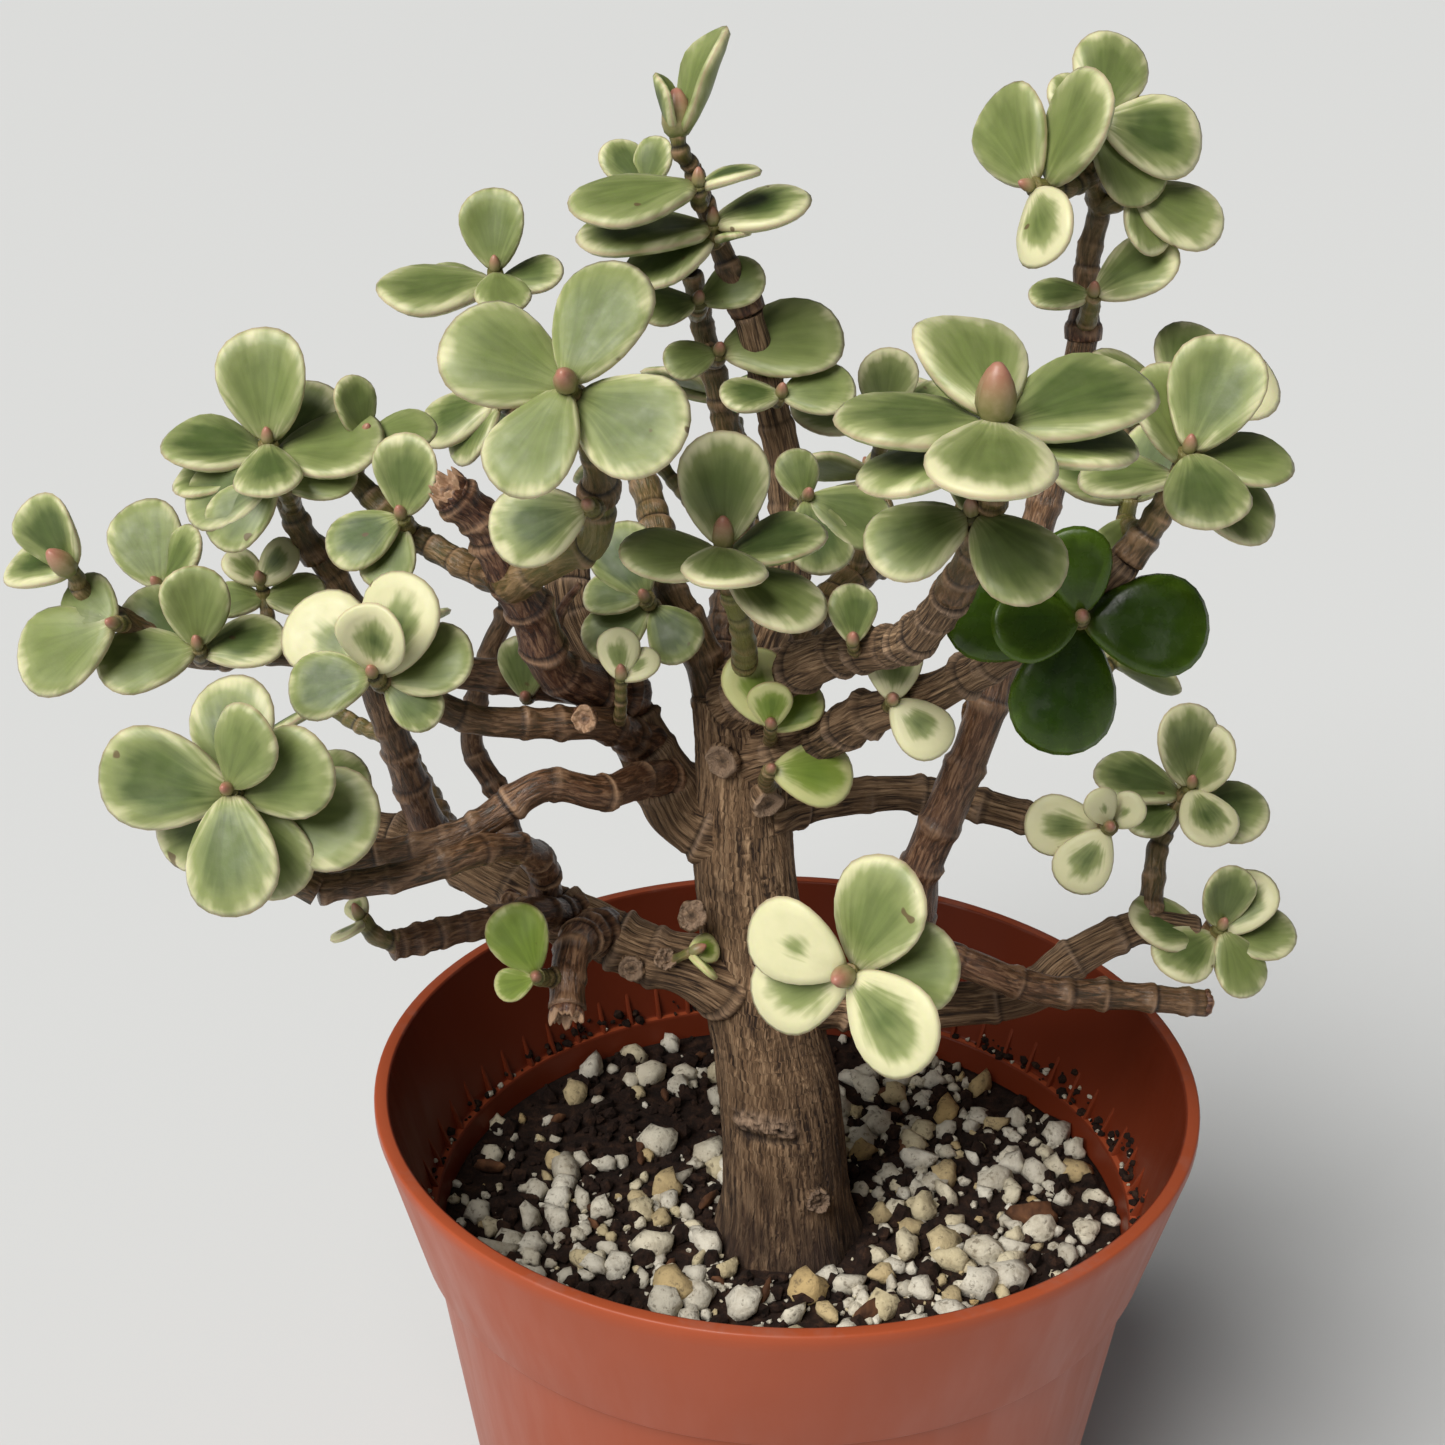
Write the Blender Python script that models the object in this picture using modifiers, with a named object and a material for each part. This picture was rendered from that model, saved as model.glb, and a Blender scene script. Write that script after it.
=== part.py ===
"""A dwarf jade shrub with cream-edged leaves, growing in a round plastic nursery pot.

The origin is the middle of the pot's underside, +Z is up, and the front of the plant faces -Y.
The pot and soil are turned shapes. The trunk, the limbs and the leafy sprigs are bent tubes.
A sprig's flat leaves stand on its stem in opposite pairs. Lengths are in metres, unless a
comment says millimetres.
"""

import math

import bmesh
import bpy
from mathutils import Matrix, Vector
from mathutils.bvhtree import BVHTree

MM = 0.001

# Pot: a turned thin shell with a stepped band under its rim.
POT_HEIGHT = 0.115
RIM_RADIUS = 0.065
LIP_WIDTH = 0.0022
LIP_HEIGHT = 0.0025
WALL = 0.0015
BAND_HEIGHT = 0.0245
BAND_TAPER = 0.0055
BAND_STEP = 0.0015
BODY_TAPER = 0.0130
FLOOR = 0.0020
FOOT_FILLET = 0.0030
DRAIN_RADIUS = 0.0040
DRAIN_CIRCLE = 0.0280
DRAIN_COUNT = 6

# Soil: fills the pot to a little under the step inside its wall.
SOIL_DROP = 0.0270
SOIL_DISH = 0.0012
CLEARANCE = 0.0003

# Shrub: its size above the soil, and the sizes of its wood and leaves.
PLANT_HEIGHT = 0.181
PLANT_SPREAD = 0.186
TRUNK_FOOT_RADIUS = 0.0112
TRUNK_TOP_RADIUS = 0.0066
ROOT_COUNT = 5
ROOT_REACH = 0.0240
ROOT_DEPTH = 0.0200
ROOT_RADIUS = 0.0035
LEAF_WIDTH = 0.84
LEAF_THICKNESS = 0.0024
LEAF_SCALE = 1.0
NODE_SPACING = 0.0022
PETIOLE_SINK = 0.0010

# The tables below were drawn for a shrub of this height and spread.
DRAWN_HEIGHT = 0.181
DRAWN_SPREAD = 0.186
RISE = PLANT_HEIGHT / DRAWN_HEIGHT
REACH = PLANT_SPREAD / DRAWN_SPREAD

TURNED_STEPS = 36
SOIL_LEVEL = POT_HEIGHT - SOIL_DROP
BODY_TOP = POT_HEIGHT - BAND_HEIGHT
BAND_FOOT_RADIUS = RIM_RADIUS - LIP_WIDTH + WALL - BAND_TAPER
BODY_RADIUS = BAND_FOOT_RADIUS - BAND_STEP
BASE_RADIUS = BODY_RADIUS - BODY_TAPER

# Routes are in millimetres: to the right, away from the front, and up from the soil.
TRUNK_ROUTE = ((1, -5, -9), (0, -4, 15), (-4, -2, 41), (-7, 0, 63), (-8, 2, 81), (-9, 3, 92))

# Bare limbs: name, what it grows from, radius at its foot and tip in millimetres, route.
LIMBS = (
    ("limb_low_left", "trunk", 4.6, 3.0,
     ((-7, -2, 44), (-15, -5, 49), (-23, -4, 51), (-31, -2, 54), (-45, 4, 58), (-56, 10, 61),
      (-71, 16, 62))),
    ("limb_up_left", "trunk", 5.2, 2.6,
     ((-8, 1, 69), (-16, 2, 72), (-20, 2, 79), (-24, 3, 85), (-28, 5, 93), (-33, 8, 101),
      (-34, 12, 107), (-33, 16, 114))),
    ("limb_low_right", "trunk", 4.4, 2.2,
     ((-3, -2, 41), (7, 0, 40), (14, 0, 39), (30, 0, 40), (38, 0, 42), (43, 2, 46), (50, 3, 50),
      (56, 4, 52), (64, 4, 51))),
    ("limb_right", "trunk", 3.1, 2.2,
     ((-5, 0, 73), (3, 4, 73), (9, 6, 73), (17, 7, 73), (26, 7, 72), (33, 5, 71), (41, 2, 70))),
    ("limb_mid_right", "trunk", 3.4, 1.9,
     ((-6, 0, 83), (3, -10, 90), (8, -18, 97), (14, -23, 102), (19, -27, 106), (26, -34, 114),
      (34, -38, 122), (40, -40, 130))),
    ("limb_front_right", "trunk", 3.6, 2.1,
     ((-8, 0, 92), (0, -16, 104), (6, -26, 111), (11, -34, 115), (14, -44, 121), (17, -54, 131))),
    ("leader_top", "trunk", 3.6, 2.0,
     ((-9, 3, 90), (-5, 8, 98), (-1, 12, 109), (-2, 14, 123), (-5, 14, 136), (-8, 12, 147))),
    ("leader_right", "limb_low_right", 3.5, 2.1,
     ((16, 0, 39), (18, -6, 53), (19, -8, 68), (23, -8, 80), (27, -6, 91), (30, -2, 101),
      (34, 4, 116), (38, 8, 131), (40, 11, 144))),
    ("stem_ringed", "leader_right", 2.5, 1.9,
     ((18, -6, 54), (22, -12, 56), (29, -14, 54), (38, -14, 51), (51, -14, 50), (62, -14, 49))),
    ("limb_left_rise", "limb_low_left", 2.9, 1.9,
     ((-55, 9, 60), (-58, 6, 73), (-60, 4, 82), (-62, 3, 90), (-64, 2, 100), (-66, 0, 108),
      (-69, -1, 114))),
    ("stem_thin_left", "limb_low_left", 1.9, 1.5,
     ((-42, 3, 57), (-45, 12, 68), (-50, 16, 77), (-47, 18, 91), (-44, 18, 98), (-43, 20, 106))),
    ("limb_twin_lower", "limb_low_left", 2.2, 1.9,
     ((-38, 1, 56), (-37, -12, 70), (-39, -24, 79), (-44, -32, 83), (-51, -36, 82),
      (-59, -38, 81), (-65, -40, 81))),
    ("limb_twin_upper", "limb_up_left", 2.5, 2.0,
     ((-19, 2, 78), (-23, -10, 83), (-28, -18, 85), (-36, -22, 88), (-45, -25, 83),
      (-52, -27, 81), (-60, -29, 80), (-65, -30, 79))),
    ("limb_far_left", "limb_up_left", 2.7, 1.8,
     ((-26, 4, 88), (-31, 0, 93), (-38, -2, 95), (-46, -4, 97), (-63, -7, 100), (-74, -8, 102),
      (-85, -10, 102), (-90, -12, 105))),
    ("limb_left_mid", "limb_up_left", 2.6, 1.8,
     ((-23, 2, 84), (-28, -10, 92), (-33, -14, 94), (-44, -18, 96), (-50, -20, 99),
      (-56, -22, 103))),
    ("limb_dark_left", "limb_up_left", 3.4, 2.6,
     ((-26, 4, 90), (-30, -6, 96), (-35, -12, 102), (-37, -16, 111), (-40, -20, 119),
      (-43, -22, 127), (-47, -24, 132))),
    ("limb_high_left", "limb_dark_left", 2.3, 2.1,
     ((-40, -20, 118), (-32, -26, 124), (-28, -28, 127), (-27, -31, 134))),
)

# Leafy pieces: name, what it grows from, stem radius at foot and tip in millimetres, stem route,
# and heads. A head stands at a share of the way along the stem: its place, the heading and rise
# of its axis in degrees, and its leaves from the tip down, two at each joint of the stem. A leaf
# has its turn about the axis, its lift off square, and its length in millimetres.
SPRIGS = (
    ("sprig_left_front", "limb_twin_lower", 1.8, 1.5, ((-65, -40, 81), (-70, -40, 84), (-73, -42, 93)),
     ((1, (-74, -48, 100), (-100, 30),
       ((62, 42, 13), (-82, 12, 16), (168, 8, 18), (14, 14, 15), (100, 4, 16), (-62, -4, 14),
        (-5, 2, 18), (206, -6, 13))),)),
    ("sprig_left_behind", "limb_twin_upper", 1.8, 1.3, ((-65, -30, 79), (-69, -28, 81)),
     ((1, (-71, -26, 87), (-60, 60), ((35, 20, 12), (150, 10, 13))),)),
    ("sprig_high_left", "limb_high_left", 2.0, 1.7,
     ((-27, -31, 134), (-27, -33, 138), (-28, -36, 144), (-29, -39, 149)),
     ((1, (-30, -44, 153), (-98, 38), ((70, 12, 16.5), (247, 6, 15), (150, 12, 17), (-33, 12, 16.5))),
      (0, (-28, -37, 135), (-100, 35), ((198, 0, 13),)))),
    ("sprig_centre", "trunk", 2.2, 1.3, ((-8, -2, 94), (-8, -24, 111), (-10, -32, 122)),
     ((1, (-11, -34, 129), (-95, 78),
       ((90, 66, 15), (-85, 14, 13), (176, 8, 13.5), (8, 18, 13.5), (-30, -4, 14), (150, 0, 12))),)),
    ("sprig_low_front", "limb_low_right", 1.9, 1.4, ((13, -2, 41), (13, -20, 55), (10, -38, 68)),
     ((1, (6, -52, 76), (-118, 15),
       ((152, 15, 14.5), (-34, 14, 16), (66, 12, 17), (206, 12, 15), (12, 0, 14))),)),
    ("sprig_low_right", "limb_low_right", 1.8, 1.4, ((64, 4, 51), (66, 3, 50)),
     ((1, (67, 2, 53), (-70, 62),
       ((100, 62, 11), (-60, -20, 11), (42, 42, 12), (215, 0, 12), (8, 12, 13), (176, 10, 14))),)),
    ("sprig_right", "limb_low_right", 1.8, 1.4,
     ((56, 4, 52), (57, 8, 58), (58, 11, 63), (61, 12, 70)),
     ((1, (62, 11, 73), (-85, 65),
       ((112, 58, 14), (-75, 0, 11), (48, 58, 13), (165, 10, 14), (-6, 6, 14), (215, 10, 9))),)),
    ("sprig_right_small", "limb_right", 2.0, 1.4, ((41, 2, 70), (47, 0, 71)),
     ((1, (47, -5, 74), (-90, 30), ((112, 35, 6.5), (240, -5, 11), (40, 30, 7), (176, 0, 12))),)),
    ("sprig_green", "limb_mid_right", 1.5, 1.3, ((34, -38, 122),),
     ((0, (34, -45, 124), (-95, 35),
       ((95, 26, 11.5), (196, 22, 12), (-4, 5, 16), (172, 0, 17), (257, -12, 17.5))),)),
    ("sprig_front_right", "limb_front_right", 2.0, 1.5,
     ((17, -54, 131), (19, -64, 143), (19, -72, 152), (19, -74, 157)),
     ((1, (18, -76, 160), (-95, 80),
       ((100, 18, 17), (-95, 0, 17), (172, 6, 17.5), (22, 16, 18), (195, -6, 16), (4, -4, 15))),
      (0.45, (17, -68, 146), (-110, 60), ((200, 0, 12.5), (-50, -10, 13), (80, 20, 11))))),
    ("sprig_far_right", "limb_mid_right", 1.8, 1.4, ((40, -40, 130), (43, -40, 135), (46, -40, 142)),
     ((1, (46, -42, 145), (-90, 72),
       ((60, 52, 15), (-80, -2, 13), (122, 50, 13), (4, 10, 13), (-28, -14, 13), (176, 0, 12))),
      (0.3, (42, -26, 133), (-80, 60), ((150, 20, 13), (60, 30, 12), (250, 10, 8))))),
    ("sprig_right_upper", "leader_right", 1.6, 1.3, ((38, 8, 131), (46, 8, 131)),
     ((1, (52, 4, 139), (-60, 60), ((70, 25, 12), (14, 18, 16), (165, 10, 12))),)),
    ("sprig_right_crown", "leader_right", 2.0, 1.4,
     ((40, 11, 144), (40, 12, 155), (41, 12, 162), (39, 8, 168)),
     ((1, (30, 0, 168), (-150, 20), ((108, 8, 15.5), (-70, 6, 13), (40, 12, 17))),
      (1, (39, 6, 176), (-80, 35), ((75, 5, 13), (-10, 0, 15), (-40, 0, 12), (130, 10, 9))),
      (0.05, (40, 5, 152), (-90, 60), ((178, 5, 8.5), (22, 34, 13))),
      (0.75, (44, 6, 166), (-70, 40), ((-15, 5, 14), (-60, 0, 9))))),
    ("sprig_top", "leader_top", 2.0, 1.2, ((-8, 12, 147), (-13, 12, 159), (-16, 10, 168)),
     ((1, (-18, 8, 173), (100, 82), ((188, 74, 9), (10, 66, 16))),
      (0.8, (-15, 3, 167), (-90, 84), ((196, -4, 18), (20, 14, 9))),
      (0.5, (-13, 6, 161), (-90, 84), ((188, -2, 19), (12, 22, 14), (214, -10, 14), (-40, 20, 6))))),
    ("sprig_top_left", "trunk", 3.0, 1.5,
     ((-10, 4, 89), (-11, 14, 95), (-9, 22, 105), (-9, 24, 116), (-11, 22, 128), (-14, 20, 141),
      (-16, 18, 151)),
     ((1, (-23, 18, 163), (-100, 65), ((130, 35, 9), (60, 45, 8), (190, 10, 10))),
      (0.93, (-15, 10, 149), (-80, 50), ((200, 20, 10), (20, 24, 10))),
      (0.83, (-12, 12, 141), (-80, 50), ((8, 10, 18), (200, 10, 8))))),
    ("sprig_left_crown", "limb_left_rise", 1.9, 1.5,
     ((-69, -1, 114), (-71, -2, 118), (-73, -4, 125), (-74, -5, 129)),
     ((1, (-74, -7, 133), (-90, 72),
       ((92, 62, 16), (-85, 0, 12), (172, 10, 15), (4, 12, 16), (188, -2, 14), (58, 34, 14))),
      (0.55, (-72, -12, 129), (-110, 40), ((188, 0, 14), (215, 0, 12), (20, 0, 10))))),
    ("sprig_left_mid", "limb_left_mid", 1.7, 1.4, ((-56, -22, 103),),
     ((0, (-58, -27, 107), (-100, 48),
       ((68, 62, 12), (190, -2, 12), (140, 10, 15.5), (62, 28, 15), (22, 8, 13), (-30, -10, 9))),)),
    ("sprig_left_end", "limb_far_left", 1.8, 1.2, ((-90, -12, 105), (-96, -14, 110), (-100, -16, 115)),
     ((1, (-100, -18, 118), (-140, 50), ((84, 52, 11.5), (150, 10, 13))),
      (0.5, (-94, -20, 111), (-110, 30), ((200, 0, 16.5), (150, 0, 10))))),
    ("sprig_left_outer", "limb_far_left", 1.5, 1.2, ((-85, -10, 102),),
     ((0, (-84, -16, 106), (-90, 60), ((92, 56, 12), (196, 0, 14), (145, 20, 13), (15, 10, 12))),)),
    ("sprig_left_back", "limb_far_left", 1.4, 1.2, ((-80, -9, 102), (-88, 4, 102)),
     ((1, (-94, 6, 106), (-130, 55), ((100, 40, 14), (30, 30, 11))),)),
    ("sprig_left_bud", "limb_far_left", 1.2, 1.0, ((-74, -8, 102), (-76, -6, 106)),
     ((1, (-77, -4, 111), (-95, 60), ((140, 30, 7), (45, 30, 8), (185, 10, 8), (0, 10, 9))),)),
    ("sprig_trunk_front", "trunk", 1.3, 1.0, ((-4, -2, 86),),
     ((0, (-4, -18, 96), (-92, 42), ((108, 28, 11.5), (94, 60, 8), (40, 12, 9))),)),
    ("sprig_trunk_side", "trunk", 1.4, 1.2, ((-3, -2, 78),),
     ((0, (-4, -16, 88), (-80, 40), ((2, 4, 12),)),)),
    ("sprig_mid_right", "limb_mid_right", 1.1, 1.0, ((12, -22, 101),),
     ((0, (12, -29, 105), (-90, 40), ((86, 20, 9.5), (-42, 0, 10))),)),
    ("sprig_mid_small", "limb_front_right", 1.1, 0.9, ((9, -28, 112),),
     ((0, (6, -35, 116), (-90, 50), ((95, 30, 8),)),)),
    ("sprig_tiny_pair", "limb_left_mid", 1.0, 0.9, ((-26, -8, 91),),
     ((0, (-25, -18, 103), (-90, 70), ((95, 50, 7.5), (30, 30, 6.5))),)),
    ("sprig_single_leaf", "limb_far_left", 1.0, 0.9, ((-39, -2, 95),),
     ((0, (-39, -10, 96), (-95, 40), ((92, 30, 9.5),)),)),
    ("sprig_knot", "limb_low_left", 0.9, 0.8, ((-19, -4, 50),),
     ((0, (-15, -11, 55), (0, 30), ((50, 40, 6), (-20, 20, 6))),)),
    ("sprig_centre_back", "leader_top", 1.3, 1.1, ((-1, 13, 118),),
     ((0, (1, 4, 122), (-80, 50), ((-20, 0, 13), (-70, 0, 12), (110, 30, 8))),)),
    ("sprig_leader", "leader_top", 1.2, 1.0, ((-5, 14, 135),),
     ((0, (-3, 8, 136), (-80, 60), ((12, 14, 11), (192, 10, 9))),)),
    ("stub_front", "limb_low_left", 3.0, 2.7, ((-29, -3, 54), (-32, -14, 58), (-33, -20, 56), (-33, -24, 53)),
     ((0.8, (-37, -27, 60), (-90, 35), ((115, 15, 11), (200, 0, 6))),)),
    ("branch_low_front", "limb_low_left", 2.6, 2.0,
     ((-33, -1, 55), (-38, -12, 62), (-43, -16, 63), (-51, -20, 63), (-58, -24, 63)),
     ((0.95, (-62, -25, 68), (150, 60), ((100, 40, 5), (240, 0, 6))),)),
    ("branch_bend_left", "limb_dark_left", 2.1, 1.5,
     ((-41, -20, 119), (-45, -16, 118), (-50, -12, 119), (-55, -9, 121), (-60, -7, 125),
      (-63, -6, 128)),
     ((1, (-61, -4, 133), (-60, 60), ((10, 20, 10), (130, 50, 9))),
      (0.62, (-55, -14, 125), (-100, 50), ((65, 50, 12), (205, 0, 11), (250, 0, 10))))),
    ("branch_back_left", "trunk", 3.0, 1.5,
     ((-11, 3, 88), (-15, 4, 100), (-19, 6, 107), (-21, 14, 113), (-24, 24, 119), (-30, 34, 124),
      (-40, 40, 131), (-45, 38, 141)),
     ((1, (-46, 34, 147), (-92, 74),
       ((92, 60, 12.5), (-80, 0, 11), (188, 0, 18), (4, 12, 10), (170, 10, 12))),
      (0.78, (-45, 22, 130), (-140, 40), ((180, 10, 14), (215, 0, 11), (120, 30, 10))),
      (0.2, (-22, -6, 110), (-110, 50), ((112, 24, 12), (170, 10, 9), (215, 0, 11), (-60, -5, 10))),
      (0.8, (-39, 62, 115), (110, 60), ((20, 20, 14), (200, 20, 14), (110, 10, 15), (-70, 10, 13))))),
    ("branch_back_right", "trunk", 3.2, 1.8,
     ((-6, 5, 87), (1, 20, 93), (7, 30, 97), (14, 38, 99), (22, 44, 99), (28, 50, 102),
      (32, 54, 109)),
     ((1, (28, 60, 118), (80, 70), ((20, 20, 15), (200, 20, 15), (110, 10, 15), (-70, 10, 14))),
      (0.5, (13, 24, 128), (-90, 60), ((178, 8, 14), (85, 60, 11), (20, 20, 12))),
      (0.75, (14, 72, 103), (120, 50), ((20, 20, 14), (200, 20, 14), (110, 10, 15), (-70, 10, 13))))),
    ("branch_back_mid", "trunk", 3.2, 1.8,
     ((-8, 6, 83), (-8, 30, 87), (-7, 50, 95), (-8, 62, 104), (-10, 68, 113)),
     ((1, (-12, 74, 117), (90, 75), ((20, 20, 14), (200, 20, 14), (110, 10, 15), (-70, 10, 13))),
      (0.7, (-24, 72, 106), (150, 50), ((100, 20, 13), (190, 20, 14), (280, 10, 12))))),
    ("branch_low_back", "limb_low_left", 2.6, 1.6,
     ((-50, 6, 59), (-59, 30, 59), (-68, 50, 64), (-72, 60, 71)),
     ((1, (-72, 64, 75), (90, 70), ((20, 20, 14), (200, 20, 14), (110, 10, 15), (-70, 10, 13))),
      (0.7, (-80, 52, 67), (180, 40), ((100, 20, 13), (200, 20, 14))))),
    ("branch_right_back", "leader_right", 2.4, 1.6,
     ((27, -5, 92), (33, 18, 86), (40, 40, 83), (45, 56, 83)),
     ((1, (47, 64, 84), (80, 70), ((20, 20, 14), (200, 20, 14), (110, 10, 15), (-70, 10, 13))),
      (0.6, (55, 46, 79), (30, 40), ((80, 20, 13), (-20, 20, 12))))),
)


def new_collection(name):
    collection = bpy.data.collections.new(name)
    bpy.context.scene.collection.children.link(collection)
    return collection


def material(name, colour, roughness, metallic=0.0):
    made = bpy.data.materials.new(name)
    made.use_nodes = True
    shader = made.node_tree.nodes["Principled BSDF"]
    shader.inputs["Base Color"].default_value = (*colour, 1.0)
    shader.inputs["Roughness"].default_value = roughness
    shader.inputs["Metallic"].default_value = metallic
    return made


def on_plant(point):
    """A point of the tables, in metres from the origin."""
    x, y, z = point
    return Vector((x * REACH * MM, y * REACH * MM, SOIL_LEVEL + z * RISE * MM))


def smooth_route(points):
    """The points with one more between each two, on a smooth curve through them."""
    route = []
    last = len(points) - 1
    for i in range(last):
        before = points[max(i - 1, 0)]
        after = points[min(i + 2, last)]
        route.append(points[i])
        route.append((points[i] + points[i + 1]) * 0.5625 - (before + after) * 0.0625)
    route.append(points[last])
    return route


def point_along(points, share):
    """The point a share of the way along a route."""
    lengths = [(b - a).length for a, b in zip(points, points[1:])]
    left = share * sum(lengths)
    for i, length in enumerate(lengths):
        if left <= length:
            return points[i].lerp(points[i + 1], left / length)
        left -= length
    return points[-1].copy()


def mesh_from_curve(curve_object):
    """A closed mesh object in place of a curve object, with its caps welded on."""
    graph = bpy.context.evaluated_depsgraph_get()
    mesh = bpy.data.meshes.new_from_object(curve_object.evaluated_get(graph))
    work = bmesh.new()
    work.from_mesh(mesh)
    bmesh.ops.remove_doubles(work, verts=work.verts, dist=1e-6)
    work.to_mesh(mesh)
    work.free()
    made = bpy.data.objects.new(curve_object.name + "_mesh", mesh)
    made.matrix_world = curve_object.matrix_world
    bpy.context.scene.collection.objects.link(made)
    bpy.data.objects.remove(curve_object)
    return made


def tube(points, foot_radius, tip_radius, resolution):
    """A closed tube along a route, thinning evenly from its foot to its tip."""
    curve = bpy.data.curves.new("tube", "CURVE")
    curve.dimensions = "3D"
    curve.bevel_depth = 1.0
    curve.bevel_resolution = resolution
    curve.use_fill_caps = True
    spline = curve.splines.new("POLY")
    spline.points.add(len(points) - 1)
    for i, point in enumerate(points):
        share = i / (len(points) - 1)
        spline.points[i].co = (*point, 1.0)
        spline.points[i].radius = foot_radius + (tip_radius - foot_radius) * share
    holder = bpy.data.objects.new("tube", curve)
    bpy.context.scene.collection.objects.link(holder)
    bpy.context.view_layer.update()
    return mesh_from_curve(holder)


def turned(name, profile):
    """A solid turned about Z from a profile of (radius, height) that starts and ends on it."""
    mesh = bpy.data.meshes.new(name)
    points = [(radius, 0.0, height) for radius, height in profile]
    mesh.from_pydata(points, [(i, i + 1) for i in range(len(points) - 1)], [])
    made = bpy.data.objects.new(name, mesh)
    bpy.context.scene.collection.objects.link(made)
    screw = made.modifiers.new("Turn", "SCREW")
    screw.steps = TURNED_STEPS
    screw.render_steps = TURNED_STEPS
    screw.use_merge_vertices = True
    screw.merge_threshold = 0.00001
    return made


def apply_modifiers(target):
    graph = bpy.context.evaluated_depsgraph_get()
    mesh = bpy.data.meshes.new_from_object(target.evaluated_get(graph))
    target.modifiers.clear()
    target.data = mesh


def combine(target, other, operation):
    """Joins another closed object to this one, or cuts it away, and removes the other.

    The exact solver drops a leaf where its faces cross a stem's at a glancing angle, and the
    manifold solver keeps it. Both objects are closed, which the manifold solver needs.
    """
    step = target.modifiers.new("Combine", "BOOLEAN")
    step.operation = operation
    step.solver = "MANIFOLD"
    step.object = other
    bpy.context.view_layer.update()
    apply_modifiers(target)
    bpy.data.objects.remove(other)


def leaf(base, direction, normal, length):
    """A flat fleshy leaf, narrow at its base and broadest past its middle."""
    side = normal.cross(direction)
    mesh = bpy.data.meshes.new("leaf")
    work = bmesh.new()
    bmesh.ops.create_uvsphere(work, u_segments=10, v_segments=2, radius=1.0)
    for vert in work.verts:
        along = 0.5 * (vert.co.x + 1.0)
        breadth = 0.5 * LEAF_WIDTH * length * vert.co.y * (0.72 + 0.36 * along)
        height = 0.5 * LEAF_THICKNESS * vert.co.z
        vert.co = base + direction * (along * length) + side * breadth + normal * height
    work.to_mesh(mesh)
    work.free()
    made = bpy.data.objects.new("leaf", mesh)
    bpy.context.scene.collection.objects.link(made)
    return made


def heading(angle, rise):
    turn = math.radians(angle)
    lift = math.radians(rise)
    return Vector((math.cos(lift) * math.cos(turn), math.cos(lift) * math.sin(turn), math.sin(lift)))


def stem_bend(foot, tip, axis, count=3):
    """A curve from a foot to a tip that ends along an axis."""
    middle = tip - axis * (0.5 * (tip - foot).length)
    route = []
    for i in range(count):
        t = i / (count - 1)
        route.append(foot * (1 - t) ** 2 + middle * (2 * t * (1 - t)) + tip * t ** 2)
    return route


def head_pieces(below, foot, tip, axis, stem_radius, leaves):
    """A head's short stem and its leaves, as separate closed objects that overlap.

    The leaves' joints run from the tip down the short stem and then down the stem below it.
    """
    route = stem_bend(foot, tip, axis)
    pieces = [tube(route, stem_radius, stem_radius * 0.85, 1)]
    way_down = list(reversed(below + route))
    length_down = sum((b - a).length for a, b in zip(way_down, way_down[1:]))
    spacing = min(NODE_SPACING, 1.6 * length_down / (len(leaves) + 1))
    right = Vector((1, 0, 0))
    right = (right - axis * right.dot(axis)).normalized()
    upward = axis.cross(right)
    for i, (turn, lift, length) in enumerate(leaves):
        angle = math.radians(turn)
        raise_by = math.radians(lift)
        outward = right * math.cos(angle) + upward * math.sin(angle)
        direction = outward * math.cos(raise_by) + axis * math.sin(raise_by)
        normal = axis * math.cos(raise_by) - outward * math.sin(raise_by)
        joint = point_along(way_down, (0.0006 + spacing * (i // 2)) / length_down)
        base = joint + outward * (stem_radius - PETIOLE_SINK)
        pieces.append(leaf(base, direction, normal, length * MM * LEAF_SCALE))
    return pieces


def largest_body_only(work):
    """Deletes what a cut left loose, keeping the body with the most corners."""
    bodies = []
    seen = set()
    for start in work.verts:
        if start in seen:
            continue
        body = [start]
        seen.add(start)
        for vert in body:
            for edge in vert.link_edges:
                other = edge.other_vert(vert)
                if other not in seen:
                    seen.add(other)
                    body.append(other)
        bodies.append(body)
    bodies.sort(key=len)
    for body in bodies[:-1]:
        bmesh.ops.delete(work, geom=body, context="VERTS")


def tidy(target):
    """Merges the flat scraps that a Boolean leaves, where the surface stays closed."""
    for angle, distance in ((2.0, 5e-6), (0.5, 2e-6), (0.0, 1e-6), (0.0, 0.0)):
        work = bmesh.new()
        work.from_mesh(target.data)
        largest_body_only(work)
        if angle:
            bmesh.ops.dissolve_limit(work, angle_limit=math.radians(angle), verts=work.verts,
                                     edges=work.edges)
        bmesh.ops.triangulate(work, faces=work.faces)
        if distance:
            bmesh.ops.remove_doubles(work, verts=work.verts, dist=distance)
            bmesh.ops.dissolve_degenerate(work, edges=work.edges, dist=distance)
        closed = all(edge.is_manifold for edge in work.edges)
        if closed:
            work.to_mesh(target.data)
        work.free()
        if closed:
            return


def swollen(source, clearance):
    """A copy of an object that is larger by a clearance all round, to cut with."""
    work = bmesh.new()
    work.from_mesh(source.data)
    work.normal_update()
    shifts = [vert.normal * (clearance * min(vert.calc_shell_factor(), 1.4)) for vert in work.verts]
    for vert, shift in zip(work.verts, shifts):
        vert.co += shift
    mesh = bpy.data.meshes.new(source.name + "_cutter")
    work.to_mesh(mesh)
    work.free()
    made = bpy.data.objects.new(source.name + "_cutter", mesh)
    cutters.objects.link(made)
    made.hide_render = True
    made.display_type = "WIRE"
    return made


def surface_of(target):
    work = bmesh.new()
    work.from_mesh(target.data)
    tree = BVHTree.FromBMesh(work)
    work.free()
    return tree


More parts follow.
